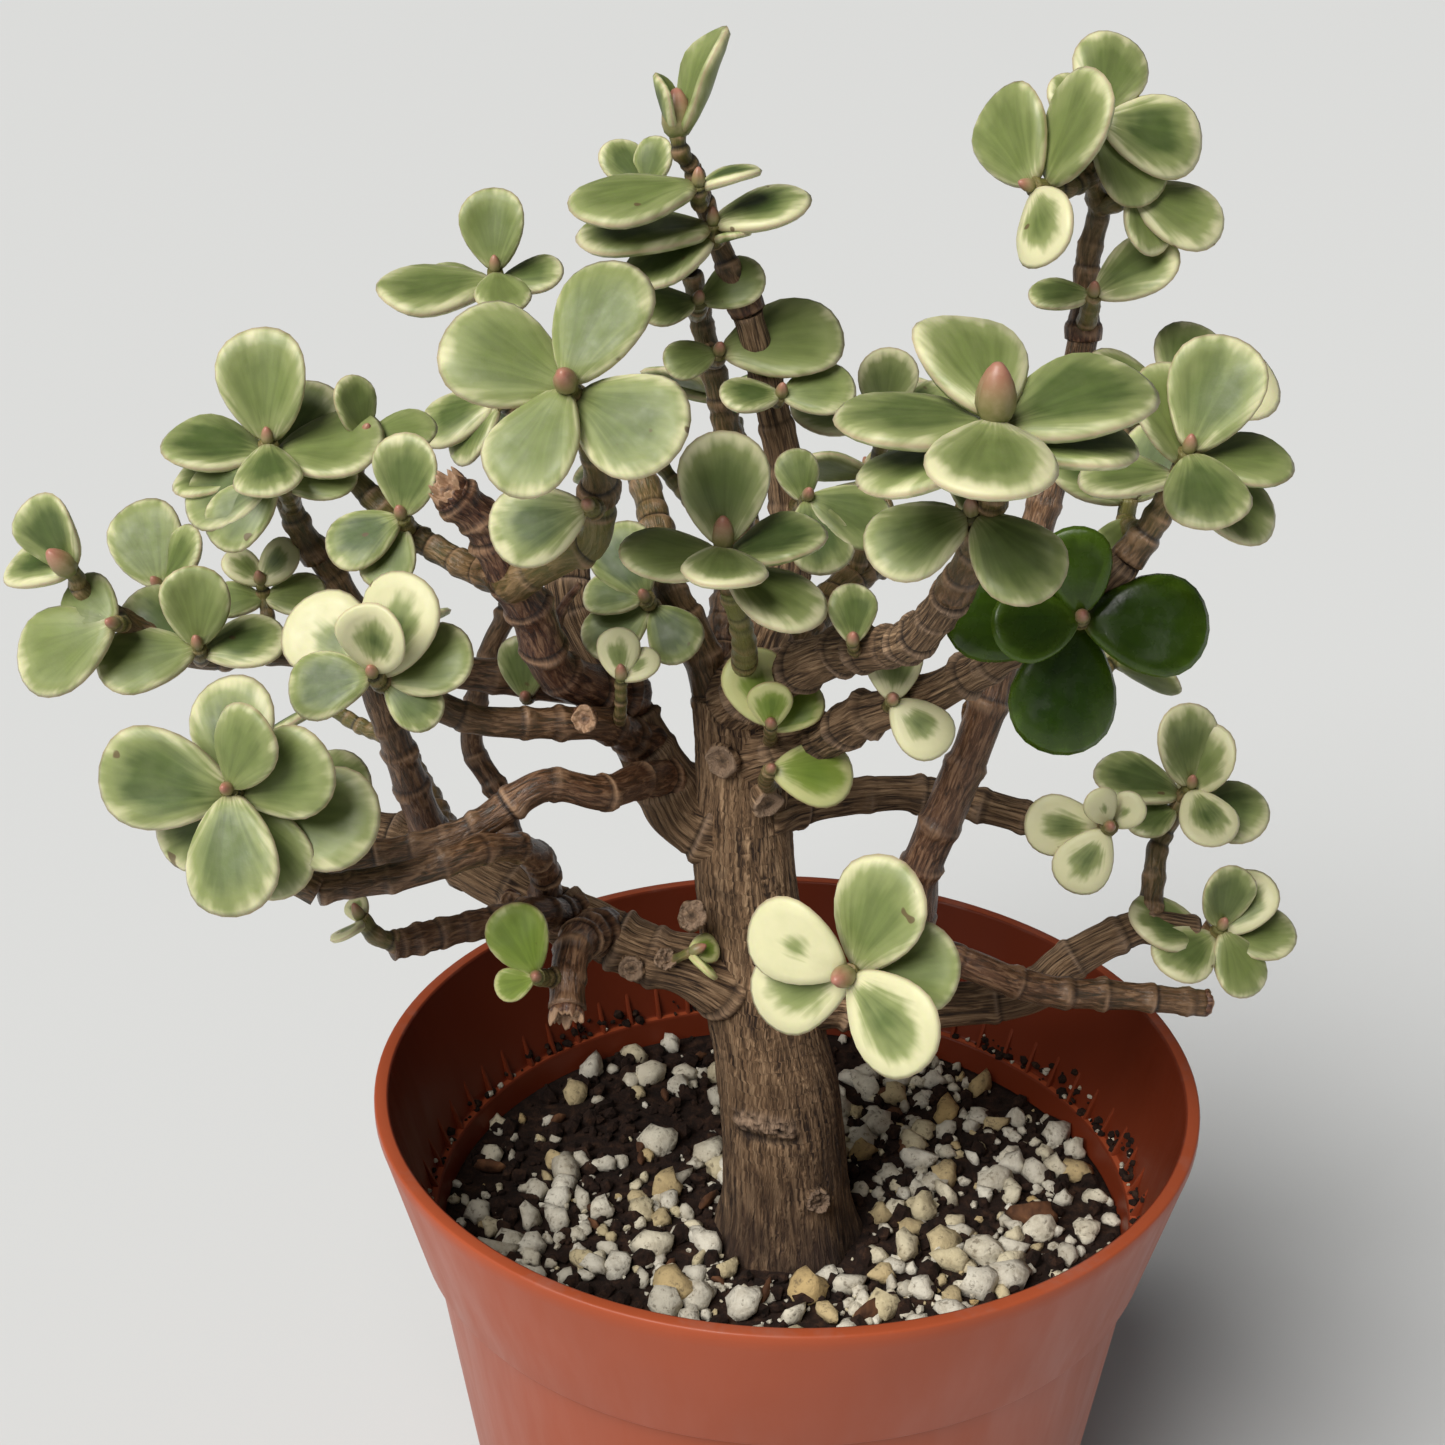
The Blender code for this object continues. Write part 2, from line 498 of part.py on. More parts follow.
def cut_clear(target, neighbours):
    """Cuts a piece back from those before it that it meets, as bark and leaves press aside.

    A swollen copy can fall inside its source at a sharp inner corner, so the source cuts too.
    """
    for neighbour in neighbours:
        for clearance in (CLEARANCE, 0.0):
            cutter = swollen(neighbour, clearance)
            if surface_of(target).overlap(surface_of(cutter)):
                combine(target, cutter, "DIFFERENCE")
            else:
                bpy.data.objects.remove(cutter)
    tidy(target)


def keep(target, name, look):
    """Names a finished piece, gives it its material and puts it in the object's collection."""
    target.name = name
    target.data.name = name
    target.data.materials.clear()
    target.data.materials.append(look)
    for collection in list(target.users_collection):
        collection.objects.unlink(target)
    parts.objects.link(target)
    target.data.shade_smooth()
    target.data.set_sharp_from_angle(angle=math.radians(50))
    return target


def pot_profile():
    """The pot's wall from the middle of its floor, up inside, over the lip and down outside."""
    lip_inner = RIM_RADIUS - LIP_WIDTH
    lip_under = POT_HEIGHT - LIP_HEIGHT
    return (
        (0.0, FLOOR),
        (BASE_RADIUS - WALL - FOOT_FILLET, FLOOR),
        (BASE_RADIUS - WALL, FLOOR + FOOT_FILLET),
        (BODY_RADIUS - WALL, BODY_TOP + WALL),
        (BAND_FOOT_RADIUS - WALL, BODY_TOP + WALL),
        (lip_inner, POT_HEIGHT),
        (RIM_RADIUS, POT_HEIGHT),
        (RIM_RADIUS, lip_under),
        (lip_inner + WALL, lip_under),
        (BAND_FOOT_RADIUS, BODY_TOP),
        (BODY_RADIUS, BODY_TOP),
        (BASE_RADIUS, FOOT_FILLET),
        (BASE_RADIUS - FOOT_FILLET, 0.0),
        (0.0, 0.0),
    )


def make_pot():
    pot = turned("pot", pot_profile())
    bpy.context.view_layer.update()
    apply_modifiers(pot)
    for i in range(DRAIN_COUNT):
        angle = 2 * math.pi * (i + 0.5) / DRAIN_COUNT
        mesh = bpy.data.meshes.new("drain")
        work = bmesh.new()
        bmesh.ops.create_cone(work, cap_ends=True, segments=12, radius1=DRAIN_RADIUS,
                              radius2=DRAIN_RADIUS, depth=4 * FLOOR)
        work.to_mesh(mesh)
        work.free()
        drain = bpy.data.objects.new("drain", mesh)
        drain.location = (DRAIN_CIRCLE * math.cos(angle), DRAIN_CIRCLE * math.sin(angle), 0.0)
        cutters.objects.link(drain)
        bpy.context.view_layer.update()
        combine(pot, drain, "DIFFERENCE")
    return pot


def make_soil():
    """The root ball, a clearance inside the pot, with a slightly dished top."""
    wall_slope = (BODY_RADIUS - BASE_RADIUS) / (BODY_TOP + WALL - FLOOR - FOOT_FILLET)
    inner_base = BASE_RADIUS - WALL - CLEARANCE
    edge = inner_base + wall_slope * (SOIL_LEVEL - FLOOR - FOOT_FILLET)
    if SOIL_LEVEL > BODY_TOP + WALL:
        edge = min(edge, BODY_RADIUS - WALL - CLEARANCE)
    foot = FLOOR + CLEARANCE
    return turned("soil", (
        (0.0, SOIL_LEVEL - SOIL_DISH),
        (0.6 * edge, SOIL_LEVEL - SOIL_DISH),
        (edge, SOIL_LEVEL),
        (inner_base, foot + FOOT_FILLET),
        (inner_base - FOOT_FILLET, foot),
        (0.0, foot),
    ))


def make_trunk():
    """The trunk with the main roots that spread from its foot in the soil."""
    route = [on_plant(point) for point in TRUNK_ROUTE]
    trunk = tube(smooth_route(route), TRUNK_FOOT_RADIUS, TRUNK_TOP_RADIUS, 2)
    foot = route[0]
    for i in range(ROOT_COUNT):
        angle = 2 * math.pi * i / ROOT_COUNT + 0.5
        out = Vector((math.cos(angle), math.sin(angle), 0.0))
        reach = foot + out * ROOT_REACH + Vector((0, 0, -ROOT_DEPTH))
        middle = foot + out * (0.6 * ROOT_REACH) + Vector((0, 0, -0.2 * ROOT_DEPTH))
        start = foot + Vector((0, 0, 0.4 * TRUNK_FOOT_RADIUS))
        combine(trunk, tube([start, middle, reach], ROOT_RADIUS, 0.4 * ROOT_RADIUS, 1), "UNION")
    return trunk


for old in list(bpy.data.objects):
    bpy.data.objects.remove(old)

parts = new_collection("potted_jade_plant")
cutters = new_collection("cutters")

pot_plastic = material("pot_plastic", (0.40, 0.085, 0.04), 0.42)
soil_mix = material("soil_mix", (0.045, 0.028, 0.02), 0.95)
old_bark = material("old_bark", (0.16, 0.11, 0.08), 0.88)
young_bark = material("young_bark", (0.13, 0.06, 0.04), 0.7)
leaf_skin = material("leaf_skin", (0.24, 0.36, 0.13), 0.45)
green_leaf_skin = material("green_leaf_skin", (0.06, 0.17, 0.03), 0.35)

keep(make_pot(), "pot", pot_plastic)

plant = {"trunk": keep(make_trunk(), "trunk", old_bark)}
tidy(plant["trunk"])

for name, parent, foot_radius, tip_radius, route in LIMBS:
    points = smooth_route([on_plant(point) for point in route])
    limb = tube(points, foot_radius * MM, tip_radius * MM, 1)
    cut_clear(limb, plant.values())
    plant[name] = keep(limb, name, old_bark if parent == "trunk" else young_bark)

for name, parent, foot_radius, tip_radius, route, heads in SPRIGS:
    points = [on_plant(point) for point in route]
    pieces = []
    if len(points) > 1:
        pieces.append(tube(points, foot_radius * MM, tip_radius * MM, 1))
    for share, place, (turn, rise), leaves in heads:
        foot = point_along(points, share) if len(points) > 1 else points[0]
        below = points[:-1] if share == 1 else []
        head_radius = min(tip_radius, 1.4) * MM
        pieces += head_pieces(below, foot, on_plant(place), heading(turn, rise), head_radius, leaves)
    sprig = pieces[0]
    for piece in pieces[1:]:
        combine(sprig, piece, "UNION")
    cut_clear(sprig, plant.values())
    plant[name] = keep(sprig, name, green_leaf_skin if name == "sprig_green" else leaf_skin)

soil = make_soil()
bpy.context.view_layer.update()
apply_modifiers(soil)
cut_clear(soil, [plant["trunk"]])
keep(soil, "soil", soil_mix)
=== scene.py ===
import math
import random

import bpy
from mathutils import Matrix, Vector, noise


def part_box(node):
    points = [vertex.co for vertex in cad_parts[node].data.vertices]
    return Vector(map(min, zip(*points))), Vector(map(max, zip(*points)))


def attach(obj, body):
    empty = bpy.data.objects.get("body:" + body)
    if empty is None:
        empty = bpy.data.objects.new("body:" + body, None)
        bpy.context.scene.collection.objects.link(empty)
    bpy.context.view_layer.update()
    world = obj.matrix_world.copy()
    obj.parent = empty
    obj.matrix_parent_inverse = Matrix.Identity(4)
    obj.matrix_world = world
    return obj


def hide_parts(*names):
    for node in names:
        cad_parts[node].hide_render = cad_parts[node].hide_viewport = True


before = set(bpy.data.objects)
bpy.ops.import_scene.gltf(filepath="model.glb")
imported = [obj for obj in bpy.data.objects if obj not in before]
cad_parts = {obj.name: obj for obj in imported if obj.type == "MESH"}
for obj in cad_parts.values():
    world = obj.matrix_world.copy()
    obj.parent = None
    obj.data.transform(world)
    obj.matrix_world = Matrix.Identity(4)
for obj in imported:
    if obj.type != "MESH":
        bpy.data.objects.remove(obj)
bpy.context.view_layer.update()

# ---------------------------------------------------------------------------------------------
# The pot. A round nursery pot, injection moulded in thin terracotta-coloured plastic. It has a
# stepped band under a rolled lip, for stacking and lifting, and drain holes in its floor.
# ---------------------------------------------------------------------------------------------
MM = 0.001
pot_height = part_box("pot")[1][2]
rim_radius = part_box("pot")[1][0]
lip_width = 2.2 * MM
lip_height = 1.6 * MM
pot_wall = 1.5 * MM
band_top = pot_height - 24.5 * MM
band_foot_radius = rim_radius - lip_width + pot_wall - 5.5 * MM
body_radius = band_foot_radius - 1.5 * MM
base_radius = body_radius - 13 * MM
pot_floor = 2 * MM
foot_fillet = 3 * MM


def select_only(piece):
    bpy.ops.object.select_all(action="DESELECT")
    piece.hide_set(False)
    piece.select_set(True)
    bpy.context.view_layer.objects.active = piece


def settle(piece, slot, *nodes):
    """Fixes a finished piece to the plant's one body, and hides the plain solids it stands for."""
    select_only(piece)
    bpy.ops.object.transform_apply(location=True, rotation=True, scale=True)
    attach(piece, "root")
    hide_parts(*nodes)


def joined(name, pieces):
    """Makes several objects one, under a name."""
    bpy.ops.object.select_all(action="DESELECT")
    for piece in pieces:
        piece.select_set(True)
    bpy.context.view_layer.objects.active = pieces[0]
    if len(pieces) > 1:
        bpy.ops.object.join()
    whole = bpy.context.view_layer.objects.active
    whole.name = name
    whole.data.name = name
    return whole


def turned(name, sides, rings):
    """A round solid: a disc at the first (radius, height), extruded through the others."""
    bpy.ops.object.select_all(action="DESELECT")
    radius, height = rings[0]
    bpy.ops.mesh.primitive_circle_add(vertices=sides, radius=radius, fill_type="NGON",
                                      location=(0, 0, height))
    made = bpy.context.object
    made.name = name
    bpy.ops.object.mode_set(mode="EDIT")
    bpy.ops.mesh.select_all(action="SELECT")
    for next_radius, next_height in rings[1:]:
        rise = (0, 0, next_height - height)
        grow = next_radius / radius
        bpy.ops.mesh.extrude_region_move(TRANSFORM_OT_translate={"value": rise})
        bpy.ops.transform.resize(value=(grow, grow, 1), center_override=(0, 0, next_height))
        radius, height = next_radius, next_height
    bpy.ops.mesh.select_all(action="SELECT")
    bpy.ops.mesh.normals_make_consistent(inside=False)
    bpy.ops.object.mode_set(mode="OBJECT")
    return made


def apply_all(piece):
    select_only(piece)
    for modifier in list(piece.modifiers):
        bpy.ops.object.modifier_apply(modifier=modifier.name)


def finish(name, roughness, specular=0.5):
    made = bpy.data.materials.new(name)
    made.use_nodes = True
    shader = made.node_tree.nodes["Principled BSDF"]
    shader.inputs["Roughness"].default_value = roughness
    shader.inputs["Specular IOR Level"].default_value = specular
    return made


def add(made, kind, inputs=None, **settings):
    """Adds a node. An input given as another node's output is linked, any other is set."""
    new = made.node_tree.nodes.new("ShaderNode" + kind)
    for key, value in settings.items():
        setattr(new, key, value)
    for key, value in (inputs or {}).items():
        if isinstance(value, bpy.types.NodeSocket):
            made.node_tree.links.new(value, new.inputs[key])
        else:
            new.inputs[key].default_value = value
    return new


def feed(made, **sockets):
    """Links outputs to the shader's sockets, with _ for a space in a socket's name."""
    shader = made.node_tree.nodes["Principled BSDF"]
    for key, output in sockets.items():
        made.node_tree.links.new(output, shader.inputs[key.replace("_", " ")])


def grain(made, where, scale, detail=3.0, stretch=(1, 1, 1), rough=0.5):
    """Noise over the surface, stretched along an axis where its scale is under 1."""
    spread = add(made, "Mapping", {"Vector": where, "Scale": stretch})
    return add(made, "TexNoise", {"Vector": spread.outputs["Vector"], "Scale": scale,
                                  "Detail": detail, "Roughness": rough}).outputs["Fac"]


def ramp(made, factor, *stops):
    """A colour or grey level for each value of a factor, from stops of (place, colour)."""
    new = add(made, "ValToRGB", {"Fac": factor})
    steps = new.color_ramp.elements
    while len(steps) < len(stops):
        steps.new(0.5)
    for step, (place, colour) in zip(steps, stops):
        step.position = place
        if isinstance(colour, (int, float)):
            colour = (colour, colour, colour)
        step.color = (*colour, 1)
    return new.outputs["Color"]


def blended(made, factor, first, second, way="MIX"):
    """Mixes two colours or outputs by a factor."""
    sides = [(*side, 1) if isinstance(side, tuple) else side for side in (first, second)]
    new = add(made, "Mix", {"Factor": factor}, data_type="RGBA", blend_type=way)
    for key, side in zip((6, 7), sides):
        if isinstance(side, bpy.types.NodeSocket):
            made.node_tree.links.new(side, new.inputs[key])
        else:
            new.inputs[key].default_value = side
    return new.outputs[2]


def bumped(made, height, strength, distance):
    relief = add(made, "Bump", {"Height": height, "Strength": strength, "Distance": distance})
    feed(made, Normal=relief.outputs["Normal"])


def place_of(made):
    return add(made, "TexCoord").outputs["Object"]


def reckoned(made, operation, *values):
    """A sum of outputs or numbers, such as ADD or MULTIPLY."""
    return add(made, "Math", dict(enumerate(values)), operation=operation).outputs["Value"]


def between(made, value, low, high, at_low=0.0, at_high=1.0, **how):
    """Where a value stands between two bounds, from 0 to 1 unless other ends are given."""
    return add(made, "MapRange", {"Value": value, "From Min": low, "From Max": high,
                                  "To Min": at_low, "To Max": at_high}, **how).outputs["Result"]


def painted(made, layer):
    """The red, green and blue of a colour attribute of the mesh."""
    stored = add(made, "VertexColor", layer_name=layer).outputs["Color"]
    return add(made, "SeparateColor", {"Color": stored}).outputs


def paint_inner_shade(piece, shade_at):
    """Stores how far each point takes the darker red painted on the inner wall as painted shade."""
    layer = piece.data.color_attributes.new("inner", "FLOAT_COLOR", "POINT")
    for vert, item in zip(piece.data.vertices, layer.data):
        shade = shade_at(vert)
        item.color = (shade, shade, shade, 1)


# Surfaces that face inwards take the full painted shade.
def turned_inwards(vert):
    out = Vector((vert.co.x, vert.co.y, 0)).normalized()
    return 1.0 if vert.normal.dot(out) < -0.3 else 0.0


# The gussets take most of the painted shade of the inner wall.
def mostly(vert):
    return 0.75


pot = turned("pot_shell", 144, (
    (base_radius - foot_fillet, 0.0),
    (base_radius - 0.3 * foot_fillet, 0.25 * foot_fillet),
    (base_radius, foot_fillet),
    (body_radius, band_top),
    (band_foot_radius, band_top),
    (rim_radius - 0.45 * MM, pot_height - lip_height - 1.5 * MM),
    (rim_radius, pot_height - lip_height),
    (rim_radius, pot_height),
    (rim_radius - lip_width, pot_height),
    (band_foot_radius - pot_wall, band_top + pot_wall),
    (body_radius - pot_wall, band_top + pot_wall),
    (base_radius - pot_wall, pot_floor + foot_fillet),
    (base_radius - pot_wall - foot_fillet, pot_floor),
))
soft_edges = pot.modifiers.new("Edges", "BEVEL")
soft_edges.width = 0.4 * MM
soft_edges.segments = 3
soft_edges.angle_limit = math.radians(25)
apply_all(pot)

drain_count = 6
drain_radius = 4 * MM
drain_reach = 28 * MM
drains = []
for i in range(drain_count):
    turn = 2 * math.pi * (i + 0.5) / drain_count
    middle = (drain_reach * math.cos(turn), drain_reach * math.sin(turn), 0)
    bpy.ops.object.select_all(action="DESELECT")
    bpy.ops.mesh.primitive_cylinder_add(vertices=24, radius=drain_radius, depth=4 * pot_floor,
                                        location=middle)
    drains.append(bpy.context.object)
drain_cutter = joined("drain_cutter", drains)
drilled = pot.modifiers.new("Drains", "BOOLEAN")
drilled.operation = "DIFFERENCE"
drilled.object = drain_cutter
apply_all(pot)
bpy.data.objects.remove(drain_cutter)

# Small gussets stand on the step inside the wall, all the way round.
gusset_count = 64
gusset_foot = (body_radius - pot_wall + 0.2 * MM, band_top + pot_wall - 0.3 * MM)
gusset_height = 6 * MM
gusset_depth = 1.9 * MM
gusset_width = 0.7 * MM
wall_lean = (rim_radius - lip_width - band_foot_radius + pot_wall) / (pot_height - band_top - pot_wall)
bpy.ops.object.select_all(action="DESELECT")
bpy.ops.mesh.primitive_cube_add(size=1)
gusset = bpy.context.object
gusset.scale = (gusset_depth, gusset_width, gusset_height)
gusset.location = (gusset_foot[0] + 0.5 * gusset_depth, 0, gusset_foot[1] + 0.5 * gusset_height)
select_only(gusset)
bpy.ops.object.transform_apply(location=True, rotation=True, scale=True)
for vert in gusset.data.vertices:
    if vert.co.z > gusset_foot[1] + 0.5 * gusset_height:
        outer = vert.co.x > gusset_foot[0] + 0.5 * gusset_depth
        vert.co.x += wall_lean * gusset_height + (0.1 * MM if outer else 1.3 * MM)
eased = gusset.modifiers.new("Eased", "BEVEL")
eased.width = 0.15 * MM
eased.segments = 2
apply_all(gusset)
gussets = []
for i in range(gusset_count):
    copy = gusset.copy()
    copy.data = gusset.data.copy()
    copy.data.transform(Matrix.Rotation(2 * math.pi * i / gusset_count, 4, "Z"))
    bpy.context.scene.collection.objects.link(copy)
    gussets.append(copy)
bpy.data.objects.remove(gusset)
pot_gussets = joined("pot_gussets", gussets)

# The inner wall and the gussets get painted shade, stored per point.
paint_inner_shade(pot, turned_inwards)
# Painted shade on the gussets, a little lighter than on the inner wall.
paint_inner_shade(pot_gussets, mostly)

plastic = finish("pot_plastic", 0.42, 0.25)
spot = place_of(plastic)
cloudy = grain(plastic, spot, 28, 3)
scuffs = grain(plastic, spot, 160, 4, (1, 1, 0.08), 0.6)
flow = grain(plastic, spot, 420, 2, (1, 1, 0.3))
moulded = ramp(plastic, cloudy, (0.3, (0.315, 0.062, 0.022)), (0.7, (0.365, 0.074, 0.028)))
worn = ramp(plastic, scuffs, (0.60, 0.0), (0.85, 0.16))
dust = ramp(plastic, grain(plastic, spot, 75, 5, rough=0.7), (0.52, 0.0), (0.75, 0.5))
level = add(plastic, "SeparateXYZ", {"Vector": spot}).outputs["Z"]
dusty = reckoned(plastic, "MULTIPLY", dust, between(plastic, level, pot_height - 0.5 * MM, pot_height))
colour = blended(plastic, worn, moulded, (0.42, 0.15, 0.09))
# Painted shade: the inner wall and the gussets are blended to a darker red.
colour = blended(plastic, painted(plastic, "inner")["Red"], colour, (0.150, 0.024, 0.008))
feed(plastic, Base_Color=blended(plastic, dusty, colour, (0.30, 0.15, 0.12)),
     Roughness=ramp(plastic, scuffs, (0.35, 0.33), (0.75, 0.50)))
bumped(plastic, flow, 0.10, 0.0002)
for piece in (pot, pot_gussets):
    piece.data.materials.clear()
    piece.data.materials.append(plastic)
    select_only(piece)
    bpy.ops.object.shade_smooth_by_angle(angle=math.radians(32))
settle(pot, "pot_plastic", "pot")
settle(pot_gussets, "pot_plastic", "pot")

# ---------------------------------------------------------------------------------------------
# The soil. A dark root ball of peat and bark fines, loose and crumbly on top, which fills the
# pot to just under the step inside its wall.
# ---------------------------------------------------------------------------------------------
soil_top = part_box("soil")[1][2]
soil_edge = body_radius - pot_wall - 0.5 * MM
soil_foot = base_radius - pot_wall - 0.4 * MM
soil_rings = [(soil_foot - 3 * MM, pot_floor + 0.3 * MM), (soil_foot, pot_floor + 3.3 * MM),
              (soil_edge - 0.5 * MM, soil_top - 1.0 * MM)]
ring_count = 52
for i in range(ring_count):
    soil_rings.append(((soil_edge - 0.3 * MM) * (1 - i / ring_count), soil_top - 0.4 * MM))


def dressed(piece, material, slot, *nodes, smooth=True):
    """Gives a piece its material, shades it smooth unless told not to, and settles it."""
    piece.data.materials.clear()
    piece.data.materials.append(material)
    select_only(piece)
    if smooth:
        bpy.ops.object.shade_smooth()
    settle(piece, slot, *nodes)


soil = turned("soil_bed", 168, soil_rings)
for vert in soil.data.vertices:
    x, y, z = vert.co
    if z < soil_top - 0.9 * MM:
        continue
    clods = noise.noise(Vector((x, y, 0)) * 210) * 1.2 + noise.noise(Vector((x, y, 3)) * 620) * 0.9
    crumbs = noise.noise(Vector((x, y, 7)) * 1500) * 0.5
    dish = 0.5 * math.cos(math.pi * min(1, Vector((x, y)).length / soil_edge))
    vert.co.z = soil_top - 0.9 * MM + (clods + crumbs - dish) * MM
    vert.co.x += noise.noise(Vector((x, y, 11)) * 700) * 0.5 * MM
peat = finish("peat", 0.95, 0.25)
spot = place_of(peat)
lumps = grain(peat, spot, 420, 6, rough=0.7)
feed(peat, Base_Color=ramp(peat, lumps, (0.30, (0.005, 0.0025, 0.0015)), (0.52, (0.020, 0.0095, 0.006)),
                           (0.72, (0.060, 0.029, 0.016))))
bumped(peat, lumps, 1.0, 0.0008)
dressed(soil, peat, "soil_mix", "soil")

# ---------------------------------------------------------------------------------------------
# The grit. Light lumps of perlite and pumice, most of them off-white and a few stained yellow,
# lie thick on the soil with crumbs of peat and some chips of bark between them.
# ---------------------------------------------------------------------------------------------
trunk_foot = Vector((1 * MM, -5 * MM))
trunk_clear = 11.5 * MM
scatter = random.Random(41)


def lump(name, roundness, coarse, detail):
    """One rough lump of unit size, pressed out of round."""
    bpy.ops.object.select_all(action="DESELECT")
    bpy.ops.mesh.primitive_ico_sphere_add(subdivisions=detail, radius=1)
    made = bpy.context.object
    made.name = name
    for vert in made.data.vertices:
        push = noise.noise(vert.co * coarse + Vector((roundness * 31, 0, 0)))
        lobes = noise.noise(vert.co * coarse * 2.2 + Vector((0, roundness * 17, 0)))
        vert.co *= 0.95 + 0.45 * push + 0.75 * abs(lobes)
        vert.co = Vector((vert.co.x, vert.co.y * roundness, vert.co.z * 0.5 * (1 + roundness)))
    return made


def strewn(name, models, places):
    """Copies of the models at places of (x, y, z, size, tone), joined in one piece."""
    copies = []
    for x, y, z, size, tone in places:
        model = scatter.choice(models)
        copy = bpy.data.objects.new(name, model.data.copy())
        bpy.context.scene.collection.objects.link(copy)
        lie = Matrix.Rotation(scatter.uniform(0, 6.283), 4, "Z")
        tip = Matrix.Rotation(scatter.uniform(-0.6, 0.6), 4, "X")
        copy.data.transform(Matrix.Translation((x, y, z)) @ lie @ tip @ Matrix.Diagonal(
            (size, size * scatter.uniform(0.75, 1.1), size * scatter.uniform(0.7, 1), 1)))
        mark = copy.data.color_attributes.new("tone", "FLOAT_COLOR", "POINT")
        for item in mark.data:
            item.color = (tone, scatter.random(), 0, 1)
        copies.append(copy)
    for model in models:
        bpy.data.objects.remove(model)
    return joined(name, copies)


def room_on_soil(count, small, large, tight, thin_where=None):
    """Places for lumps that keep off the trunk and mostly off each other."""
    places = []
    tries = 0
    while len(places) < count and tries < count * 60:
        tries += 1
        size = small + (large - small) * scatter.random() ** 2.2
        reach = (soil_edge - size) * math.sqrt(scatter.random())
        turn = scatter.uniform(0, 2 * math.pi)
        x, y = reach * math.cos(turn), reach * math.sin(turn)
        if (Vector((x, y)) - trunk_foot).length < trunk_clear + size:
            continue
        if thin_where and thin_where(x, y) > scatter.random():
            continue
        if any(math.hypot(x - a, y - b) < tight * (size + other) for a, b, _, other, _ in places):
            continue
        places.append((x, y, soil_top - 0.4 * MM + 0.45 * size, size, scatter.random()))
    return places


def bare_patches(x, y):
    """How likely a lump is missing: the soil shows most at the back left and in patches."""
    patch = noise.noise(Vector((x * 60, y * 60, 5)))
    back_left = 0.55 if x < -0.012 and y > 0.008 else 0.0
    return back_left + 1.7 * max(0.0, patch)


perlite = strewn("perlite", [lump("perlite_a", 0.8, 1.2, 2), lump("perlite_b", 0.95, 1.6, 2),
                             lump("perlite_c", 0.7, 1.4, 2), lump("perlite_d", 0.9, 1.9, 2)],
                 room_on_soil(500, 0.9 * MM, 3.1 * MM, 0.58, bare_patches)
                 + [(-17 * MM, -22 * MM, soil_top + 1.3 * MM, 3.3 * MM, 0.97)])
white = finish("perlite_white", 0.92, 0.3)
spot = place_of(white)
pits = grain(white, spot, 900, 5, rough=0.65)
stone = ramp(white, painted(white, "tone")["Red"], (0.0, (0.50, 0.46, 0.37)), (0.55, (0.68, 0.64, 0.54)),
             (0.90, (0.56, 0.48, 0.30)), (1.0, (0.45, 0.31, 0.13)))
grubby = ramp(white, grain(white, spot, 240, 5, rough=0.7), (0.45, 0.0), (0.75, 0.65))
pitted = ramp(white, pits, (0.36, 0.60), (0.44, 0.0))
stone = blended(white, grubby, stone, (0.17, 0.12, 0.06))
feed(white, Base_Color=blended(white, pitted, stone, (0.10, 0.075, 0.045)))
bumped(white, pits, 0.8, 0.0005)
dressed(perlite, white, "soil_mix", "soil")


def fallen_on_step(count, small, large, climb=0.0):
    """Places for crumbs on the step between the gussets, and some stuck to the wall above it."""
    places = []
    while len(places) < count:
        turn = scatter.gauss(0.0, 0.9) if scatter.random() < 0.6 else scatter.uniform(1.2, 4.0)
        rise = climb * scatter.random() ** 2 * (0.2 + abs(noise.noise(Vector((turn * 3, 0, 0)))))
        reach = scatter.uniform(body_radius + 0.6 * MM, band_foot_radius - 0.3 * MM) - pot_wall
        if rise > 0.6 * MM:
            reach = band_foot_radius - pot_wall + wall_lean * rise - 0.1 * MM
        size = scatter.uniform(small, large)
        places.append((reach * math.cos(turn), reach * math.sin(turn),
                       band_top + pot_wall + 0.4 * size + rise, size, scatter.random() * 0.8))
    return places


crumbs = strewn("perlite_crumbs", [lump("crumb_a", 0.8, 1.8, 1)],
                room_on_soil(700, 0.35 * MM, 0.95 * MM, 0.4, bare_patches)
                + fallen_on_step(60, 0.3 * MM, 0.7 * MM, 6 * MM))
dressed(crumbs, white, "soil_mix", "soil", smooth=False)

peat_crumbs = strewn("peat_crumbs", [lump("peat_a", 0.7, 1.8, 1), lump("peat_b", 0.9, 2.2, 1)],
                     room_on_soil(1300, 0.4 * MM, 2.0 * MM, 0.3)
                     + fallen_on_step(300, 0.2 * MM, 1.0 * MM, 7 * MM))
dressed(peat_crumbs, peat, "soil_mix", "soil", smooth=False)

chip_places = room_on_soil(26, 1.4 * MM, 2.6 * MM, 1.2)
chip_places += [(2 * MM, -49 * MM, soil_top + 2 * MM, 3.0 * MM, 0.9),
                (41 * MM, -3 * MM, soil_top + 2 * MM, 3.6 * MM, 0.3),
                (13 * MM, -27 * MM, soil_top + 1.2 * MM, 2.4 * MM, 0.6)]
bark_chips = strewn("bark_chips", [lump("chip_a", 0.5, 1.3, 2), lump("chip_b", 0.4, 1.1, 2)], chip_places)
chip_bark = finish("chip_bark", 0.85, 0.3)
spot = place_of(chip_bark)
fibres = grain(chip_bark, spot, 500, 4, (1, 0.25, 1))
feed(chip_bark, Base_Color=ramp(chip_bark, fibres, (0.3, (0.035, 0.013, 0.006)),
                                (0.6, (0.13, 0.055, 0.024)), (0.8, (0.26, 0.13, 0.06))))
bumped(chip_bark, fibres, 0.7, 0.0005)
dressed(bark_chips, chip_bark, "soil_mix", "soil")
